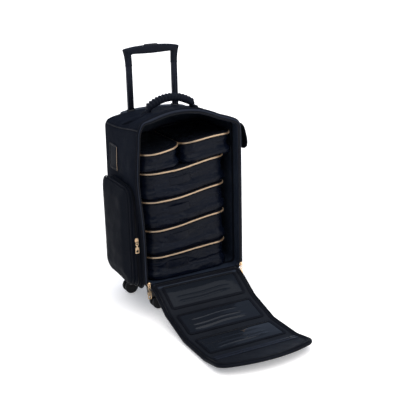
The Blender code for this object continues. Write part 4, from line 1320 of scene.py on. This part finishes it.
def inflated(obj, freedom, voxel=0.005, pressure=4.0, cap=0.006, frames=20):
    """Swells a closed pad with a short cloth simulation. freedom(points) is from 0, sewn down, to 1, free."""
    scene = bpy.context.scene
    work = linked("padding_work", obj.data.copy())
    remesh = work.modifiers.new("remesh", "REMESH")
    remesh.mode = "VOXEL"
    remesh.voxel_size = voxel
    mesh = evaluated_mesh(work)
    work.modifiers.clear()
    work.data = mesh
    start = mesh_points(mesh)
    cloth = work.modifiers.new("cloth", "CLOTH")
    cloth.settings.use_pressure = True
    cloth.settings.uniform_pressure_force = pressure
    cloth.settings.effector_weights.gravity = 0.0
    cloth.point_cache.frame_start, cloth.point_cache.frame_end = 1, frames
    for frame_number in range(1, frames + 1):
        scene.frame_set(frame_number)
    move = mesh_points(evaluated_mesh(work)) - start
    scene.frame_set(1)
    work.modifiers.clear()
    reach = np.maximum(np.linalg.norm(move, axis=1, keepdims=True), 1e-9)
    move *= np.minimum(1.0, cap / reach) * freedom(start - CASE)[:, None]
    mesh.vertices.foreach_set("co", (start + move).ravel())
    work.modifiers.new("smoother", "SUBSURF").levels = 1
    final = evaluated_mesh(work)
    final.materials.clear()
    final.materials.append(obj.data.materials[0])
    final.shade_smooth()
    final.name = obj.name
    bpy.data.objects.remove(work)
    obj.data = final


def pad_freedom(points):
    """The pad is sewn down at its edge and lies flat against the gusset."""
    flat = points[:, 1:]
    inside = np.minimum(flat - POCKET_LOW, POCKET_HIGH - flat).min(axis=1)
    return smoothstep(inside, 0.008, 0.045) * smoothstep(COVER_FACE - 0.002 - points[:, 0], 0.0, 0.006)


def pocket_cover():
    """The cover's rings, from its edge round to the middle of its padded face."""
    rows = []
    for share in np.linspace(0, 1, 40):
        turn = min(share / 0.16, 1.0) * math.pi / 2
        flat = pocket_loop(COVER_ROUND * (1 - math.cos(turn)))
        if share > 0.16:
            centre = flat.mean(axis=0)
            flat = centre + (flat - centre) * (1 - (share - 0.16) / 0.84)
        crown = 0.0090 * math.sin(turn) + 0.0042 * (1 - (1 - share) ** 2) * (share > 0.16)
        points = columns(COVER_FACE - 0.0006 - crown, flat[:, 0], flat[:, 1])
        ripple = rough(points, 11.0, 13.0) * 0.0016 + rough(points, 30.0, 17.0) * 0.0006
        points[:, 0] -= ripple * smoothstep(share, 0.05, 0.3)
        rows.append(drooped(points))
    body = "side_pocket_cover"
    cover = Shape().grid(rows, wrap=True).lid(rows[-1]).lid(rows[0])
    # The cover's darker nylon is painted shade on the case's left side.
    pad = cover.object("side_pocket_cover_cloth", "cover", body, (body,), smooth=0)
    inflated(pad, pad_freedom)


def side_pocket():
    """The deep pocket: folded gusset, puffed cover with piping, and a black zip."""
    flat = pocket_loop(0.0)
    away = np.insert(plan_outward(flat), 0, 0.0, axis=1)

    def ring(x, offset):
        return columns(x, flat[:, 0], flat[:, 1]) + away * np.reshape(offset, (-1, 1))

    outer, inner = [], []
    for share in np.linspace(0, 1, 22):
        x = POCKET_FACE + 0.004 - (POCKET_DEPTH + 0.004) * share
        fold = 0.0018 * math.cos(math.tau * share * 1.5) - 0.0020 - 0.0016 * math.sin(math.pi * share)
        crease = rough(ring(x, 0.0) * (1.5, 1.0, 1.0), 20.0, 31.0) * 0.0022 * math.sin(math.pi * share) ** 0.5
        offset = fold - np.abs(crease)
        outer.append(drooped(ring(x, offset)))
        inner.append(drooped(ring(x, offset - 0.0030)))
    gusset = Shape().grid(outer, wrap=True).grid(inner, wrap=True)
    gusset.grid([outer[0], inner[0]], wrap=True).grid([outer[-1], inner[-1]], wrap=True)
    gusset.object("side_pocket_gusset_cloth", "nylon", "case", ("side_pocket_gusset",), smooth=0)

    cord, tapes, sewing = Shape(), Shape(), Shape()
    cord.sweep(drooped(ring(POCKET_FACE - 0.0010, 0.0002)), away, oval(0.0024, 0.0026), closed=True)
    cord.object("side_pocket_base_piping", "trim")
    middle = POCKET_FACE - POCKET_DEPTH / 2
    for shift in (-0.0058, 0.0058):
        tapes.sweep(drooped(ring(middle + shift, -0.0012)), away, band(0.0014, 0.0070), closed=True)
    tapes.object("side_pocket_zip_tape", "trim")
    coil = Shape().teeth(drooped(ring(middle, -0.0010)), away, sizes=(0.0013, 0.0042, 0.0018), closed=True)
    coil.object("side_pocket_zip_coil", "black_plastic")
    pocket_cover()
    piping = Shape().sweep(drooped(ring(COVER_FACE - 0.0022, 0.0004)), away, oval(0.0026, 0.0028), closed=True)
    piping.object("side_pocket_cover_piping", "trim", "side_pocket_cover")
    for inset, out in ((0.0052, 0.0072), (0.0072, 0.0084)):
        loop = pocket_loop(inset)
        path = drooped(columns(COVER_FACE - 0.0006 - out, loop[:, 0], loop[:, 1]))
        sewing.stitches(path, unit(np.insert(plan_outward(loop), 0, -1.2, axis=1)), closed=True)
    sewing.object("side_pocket_stitching", "thread", "side_pocket_cover")


side_pocket()

# -------------------------------------------------------------- tool pocket

TOOL_Y = (-0.118, 0.030)
FLAP_CURVE = (
    (0.1745, 0.5872), (0.1795, 0.5888), (0.1862, 0.5850), (0.1930, 0.5760), (0.1990, 0.5640), (0.2040, 0.5500),
    (0.2072, 0.5360), (0.2080, 0.5240), (0.2068, 0.5140), (0.2032, 0.5078), (0.1980, 0.5050),
)


def rounded_edge(distance):
    """A cloth's share of its full thickness at a distance from its edge."""
    return np.sqrt(np.clip(1 - (1 - np.clip(distance / 2.2, 0, 1)) ** 2, 0.02, 1))


def tool_pocket():
    """The small right-hand pocket and the soft flap that falls over it."""
    middle, half = sum(TOOL_Y) / 2, (TOOL_Y[1] - TOOL_Y[0]) / 2
    steps = (
        (0.5062, 0.0125), (0.5085, 0.0155), (0.520, 0.0180), (0.545, 0.0178), (0.565, 0.0140), (0.5785, 0.0085),
    )
    rings = [disc((out + 0.004) / 2, half, 6.0, 80, 0.1752 + (out - 0.004) / 2, middle, z) for z, out in steps]
    Shape().tube(rings).object("tool_pocket_cloth", "nylon", "case", ("tool_pocket",), smooth=50)
    curve, along = resampled(FLAP_CURVE, 40)
    along *= -np.sign(along[20, 1])
    share = np.linspace(0, 1, 40)
    outer, inner = [], []
    for index, step in enumerate(np.linspace(-1, 1, 46)):
        y = middle + step * (half + 0.002)
        side = 1 - abs(step)
        pull = share * (1 - 0.10 * (1 - smoothstep(side, 0.0, 0.14)) ** 2)
        (x, z), (turn_x, turn_z) = read_at(pull, share, curve).T, read_at(pull, share, along).T
        out = columns(-turn_z, 0.0, turn_x)
        thick = 0.0020 * rounded_edge(side * 74) * rounded_edge((1 - share) * 110)
        middle_line = columns(x, y, z)
        swell = 0.0010 * math.sin(math.pi * index / 45) + rough(middle_line, 26.0, 8.0) * 0.0008
        draw = -0.0030 * (1 - smoothstep(side, 0.0, 0.10)) * smoothstep(share, 0.2, 0.6)
        drawn = middle_line + RIGHT * (draw * out[:, 0])[:, None]
        outer.append(drawn + out * (thick + swell)[:, None])
        inner.append(drawn - out * (thick - swell * 0.5)[:, None])
    flap = Shape().tube([np.vstack([a, b[::-1]]) for a, b in zip(outer, inner)])
    cloth = flap.object("tool_flap_cloth", "nylon", None, ("tool_pocket_flap",), smooth=0)
    outer = np.array(outer)
    edge = resampled(np.vstack([outer[0, 3:], outer[1:45, -1], outer[-1, :2:-1]]), 120)[0]
    binding = Shape().sweep(edge, unit(edge - (0.186, middle, 0.545)), oval(0.0022, 0.0026))
    for piece in (cloth, binding.object("tool_flap_binding", "trim", None)):
        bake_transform(piece)


tool_pocket()

# ---------------------------------------------------------------- ID window


def left_skin(y, z, lift=0.0):
    """Places on the left wall's outside."""
    base = columns(-HALF_WIDTH, y, z)
    base[..., 0] -= fullness(base)
    return swayed(base) + LEFT * lift


def id_window():
    """A blank card holder: a sewn frame, a clear window and a slim gold bar."""
    low, high = (corner[1:] for corner in case_box("id_window"))

    def place(flat, lift):
        return left_skin(flat[:, 0], flat[:, 1], lift)

    def normal(_):
        return LEFT

    welt("id_window_welt", "case", place, normal, low, high, 120, 0.004, band(0.0020, 0.0085), ("id_window",))
    film_low, film_high = low + 0.006, high - 0.006
    y, z = np.meshgrid(np.linspace(film_low[0], film_high[0], 24), np.linspace(film_low[1], film_high[1], 28))
    Shape().grid(left_skin(y, z, 0.0009)).object("id_window_sheet", "dull_vinyl", smooth=0)
    insets = (0.0012, 0.0070)
    window_stitches("id_window_stitching", "case", place, normal, low, high, 120, insets, 0.009, 0.002, 0.0019)
    line = left_skin(low[0] + 0.0022, np.linspace(low[1] + 0.004, high[1] - 0.004, 30), 0.0018)
    Shape().sweep(line, LEFT, oval(0.0006, 0.0008)).object("id_window_gold_bar", "gold_zip", slot="gold")


id_window()

# ---------------------------------------------------------- casters and base


def lathe(shape, centre, profile, axis, sides=40):
    """Spins (radius, level) pairs about an axis through centre."""
    first = unit(np.cross(axis, [1.0, 0.3, 0.2]))
    turns = np.linspace(0, math.tau, sides, endpoint=False)[:, None]
    spun = np.cos(turns) * first + np.sin(turns) * np.cross(axis, first)
    return shape.tube([centre + axis * level + radius * spun for radius, level in profile])


TYRE_HALF = ((0.0150, 0.0050), (0.0205, 0.0050), (0.0222, 0.0042), (0.0230, 0.0024), (0.0230, 0.0008))
TYRE = (*((radius, -level) for radius, level in TYRE_HALF), (0.0226, 0.0), *TYRE_HALF[::-1])
HUB = (
    (0.0030, -0.0046), (0.0140, -0.0046), (0.0166, -0.0040), (0.0166, 0.0036), (0.0150, 0.0052), (0.0138, 0.0050),
    (0.0130, 0.0034), (0.0060, 0.0030), (0.0052, 0.0058), (0.0030, 0.0062),
)
HOOD = ((0.0190, 0.0480), (0.0200, 0.0492), (0.0202, 0.0600), (0.0192, 0.0640), (0.0150, 0.0662))
BEARING = ((0.0206, 0.0667), (0.0214, 0.0674), (0.0214, 0.0772), (0.0226, 0.0784))


def caster(end, side):
    """A twin-wheel caster: hood, bearing ring, and two tyres on moulded hubs."""
    name = end + "_" + side + "_caster"
    fork, wheels = name + "_fork", name + "_wheels"
    centre, pivot = sum(case_box(wheels)) / 2, sum(case_box(name + "_cup")) / 2 * (1, 1, 0)
    tyres, hubs = Shape(), Shape()
    for sign, _ in SIDES:
        middle = centre + BACK * sign * 0.0115
        lathe(tyres, middle, TYRE, BACK, 56)
        lathe(hubs, middle, [(radius, level * sign) for radius, level in HUB], BACK)
        for turn in np.arange(6) * math.tau / 6:
            out = np.array([math.cos(turn), 0, math.sin(turn)])
            spot = middle + out * 0.0095 + BACK * sign * 0.0042
            hubs.block(spot, out, np.cross(out, BACK), BACK * sign, (0.0080, 0.0024, 0.0018))
    tyres.object(name + "_tyres", "wheel_rubber", wheels, (wheels,))
    hubs.object(name + "_hubs", "black_plastic", wheels)
    axle = lathe(Shape(), centre, ((0.0026, -0.0175), (0.0026, 0.0175)), BACK, 16)
    axle.object(name + "_axle", "steel", wheels)
    hood = lathe(Shape(), pivot, HOOD, UP, 48)
    trail = centre[0] - pivot[0]
    reach = math.copysign(1.0, trail)
    web = [
        (-0.0095 * reach, 0.0500), (-0.0105 * reach, 0.0420), (trail - 0.0075 * reach, 0.0190), (trail, 0.0160),
        (trail + 0.0075 * reach, 0.0190), (trail + 0.0092 * reach, 0.0290), (0.0185 * reach, 0.0440),
        (0.0150 * reach, 0.0500),
    ]
    across, up = np.array(web if reach > 0 else web[::-1]).T
    hood.tube([pivot + columns(across, y, up) for y in (-0.0050, -0.0056, 0.0056, 0.0050)])
    hood.object(name + "_hood", "black_plastic", fork, (fork,), smooth=35)
    cup = lathe(Shape(), pivot, BEARING, UP, 48)
    cup.object(name + "_bearing", "black_plastic", "case", (name + "_cup",), smooth=35)


def base_tray():
    """The moulded base: a stepped tub with skid ribs, and a corded rim round its top."""
    low, high = (corner[:2] for corner in case_box("base_tray"))
    centre, half = (low + high) / 2, (high - low) / 2
    low, high = centre - half, centre + half
    steps = (
        (0.0790, 0.0050, 0.016), (0.0800, 0.0022, 0.018), (0.0880, 0.0010, 0.019), (0.0900, 0.0, 0.020),
        (0.1040, 0.0, 0.020),
    )
    rings = []
    for z, inset, radius in steps:
        flat = rounded_path(tuple(low + inset), tuple(high - inset), radius, 8)
        rings.append(columns(flat[:, 0], flat[:, 1], z))
    ribs = columns((-0.090, -0.060, -0.030, 0.0, 0.030, 0.060, 0.090), centre[1], 0.0787)
    tray = Shape().tube(rings).blocks(ribs, RIGHT, BACK, -UP, (0.0060, 0.150, 0.0022), 0.85)
    tray.object("moulded_base", "black_plastic", "case", ("base_tray",), smooth=35)
    flat = inset_path(low, high, -0.0004, 0.0204, 200, 8)
    path = columns(flat[:, 0], flat[:, 1], 0.1035)
    rim = Shape().sweep(path, level_outward(flat), oval(0.0022, 0.0026), closed=True)
    rim.object("moulded_base_rim", "trim")


for end_name in ("front", "rear"):
    for _, side_name in SIDES:
        caster(end_name, side_name)
base_tray()

# -------------------------------------------------------------- zip pulls


def pierced_plate(shape, outline, holes, origin, right, up, out, thickness):
    """A flat plate with holes, laid at a place on three axes."""
    flat = bmesh.new()
    edges = []
    for loop in [outline, *holes]:
        verts = [flat.verts.new((u, v, 0.0)) for u, v in loop]
        edges += [flat.edges.new((a, b)) for a, b in zip(verts, verts[1:] + verts[:1])]
    bmesh.ops.triangle_fill(flat, use_beauty=True, use_dissolve=False, edges=edges)
    grown = bmesh.ops.extrude_face_region(flat, geom=flat.faces[:])
    moved = [item for item in grown["geom"] if isinstance(item, bmesh.types.BMVert)]
    bmesh.ops.translate(flat, verts=moved, vec=(0, 0, thickness))
    flat.verts.index_update()
    points = [origin + right * v.co.x + up * v.co.y + out * (v.co.z - thickness / 2) for v in flat.verts]
    shape.add(points, [tuple(v.index for v in face.verts) for face in flat.faces])
    flat.free()


# The slider's outline, and the tab's left side from its neck down to its foot, as (across, up).
SLIDER = (
    (-0.0036, -0.0062), (0.0036, -0.0062), (0.0058, -0.0045), (0.0058, 0.0022), (0.0030, 0.0062), (-0.0030, 0.0062),
    (-0.0058, 0.0022), (-0.0058, -0.0045),
)
TAB_NECK = (
    (-0.0034, -0.0098), (-0.0046, -0.0112), (-0.0046, -0.0164), (-0.0018, -0.0188), (-0.0018, -0.0226),
    (-0.0058, -0.0252),
)
TAB_FOOT = ((-0.0066, 0.0030), (-0.0054, 0.0006), (-0.0040, 0.0))


def zip_pull(name, length, right, out):
    """A gold slider with a bridge, a link and a pierced tab."""
    low, high = case_box(name)
    spot = np.array([*(low + high)[:2] / 2, high[2] - 0.006])
    shape = Shape()
    pierced_plate(shape, SLIDER, [], spot - out * 0.0010, right, UP, out, 0.0022)
    bridge = ((0.0046, 0.0002), (0.0030, 0.0020), (0.0, 0.0026), (-0.0030, 0.0020), (-0.0042, 0.0002))
    shape.sweep([spot + UP * rise + out * lift for rise, lift in bridge], out, band(0.0013, 0.0046))
    link = superoval(0.0034, 0.0046, 2.0, 20)
    ring = spot - UP * 0.0062 + out * 0.0012 + link[:, :1] * right + link[:, 1:] * UP
    shape.sweep(ring, out, oval(0.0010, 0.0010), closed=True)
    side = [*TAB_NECK, *((u, v - length) for u, v in TAB_FOOT)]
    outline = side + [(-u, v) for u, v in side[::-1]]
    hole = rounded_path((-0.0038, 0.0034 - length), (0.0038, 0.0112 - length), 0.0016, 3)
    holes = [superoval(0.0029, 0.0029, 2.0, 14) - (0.0, 0.0134), hole]
    pierced_plate(shape, outline, holes, spot + out * 0.0010, right, UP, out, 0.0020)
    shape.object(name + "_gold", "gold", name, (name,), smooth=30)


for _, side in SIDES:
    zip_pull("door_zip_pull_" + side, 0.0500, RIGHT, FRONT)
zip_pull("side_pocket_zip_pull", 0.0440, RIGHT, FRONT)
repaint("trolley_foot_bracket", "black_plastic")

# ------------------------------------------------------ camera, light, floor

CAMERA = {"azimuth": -27.63, "elevation": 18.39, "roll": -1.288, "distance": 2.9625, "lens": 76.03}
CAMERA_TARGET = Vector(CASE + np.array([0.1221, 0.0, 0.281]))


def facing(direction):
    """The turn that points a camera's or a light's -Z along a direction."""
    return Vector(direction).to_track_quat("-Z", "Y").to_matrix()


def make_camera():
    azimuth, elevation = math.radians(CAMERA["azimuth"]), math.radians(CAMERA["elevation"])
    level = math.cos(elevation)
    back = Vector((math.sin(azimuth) * level, -math.cos(azimuth) * level, math.sin(elevation)))
    data = bpy.data.cameras.new("camera")
    data.lens = CAMERA["lens"]
    data.sensor_width = 36.0
    camera = linked("camera", data)
    turn = facing(-back) @ Matrix.Rotation(math.radians(CAMERA["roll"]), 3, "Z")
    camera.matrix_world = Matrix.Translation(CAMERA_TARGET + back * CAMERA["distance"]) @ turn.to_4x4()
    bpy.context.scene.camera = camera


def area_light(name, place, target, size, power):
    data = bpy.data.lights.new(name, "AREA")
    data.shape = "RECTANGLE"
    data.size, data.size_y = size
    data.energy = power
    place, target = Vector(place), Vector(target)
    linked(name, data).matrix_world = Matrix.Translation(place) @ facing(target - place).to_4x4()


def sun_light(name, towards, strength, spread):
    data = bpy.data.lights.new(name, "SUN")
    data.energy = strength
    data.angle = math.radians(spread)
    linked(name, data).rotation_euler = Vector(towards).to_track_quat("Z", "Y").to_euler()


def make_stage():
    """A pale floor and a plain world light."""
    mesh = bpy.data.meshes.new("floor")
    shape = bmesh.new()
    bmesh.ops.create_grid(shape, x_segments=1, y_segments=1, size=60.0)
    shape.to_mesh(mesh)
    shape.free()
    material = new_material("floor", (0.95, 0.90, 0.84), 0.9, specular=0.05)
    inputs = material.node_tree.nodes["Principled BSDF"].inputs
    inputs["Emission Color"].default_value = (1, 1, 1, 1)
    inputs["Emission Strength"].default_value = 0.28
    mesh.materials.append(material)
    linked("floor", mesh)
    world_light = bpy.data.worlds.new("studio")
    bpy.context.scene.world = world_light
    world_light.use_nodes = True
    background = world_light.node_tree.nodes["Background"].inputs
    background["Color"].default_value = (0.76, 0.93, 1.28, 1)
    background["Strength"].default_value = 0.42


bpy.context.scene.view_settings.view_transform = "Standard"
make_camera()
make_stage()
sun_light("sky", (-0.10, -0.30, 1.0), 3.2, 80.0)
area_light("key", (-2.6, -1.9, 1.5), (0.0, 0.0, 0.35), (0.4, 1.6), 4)
area_light("fill", (1.8, -2.6, 1.2), (0.0, 0.0, 0.3), (1.4, 1.0), 24)
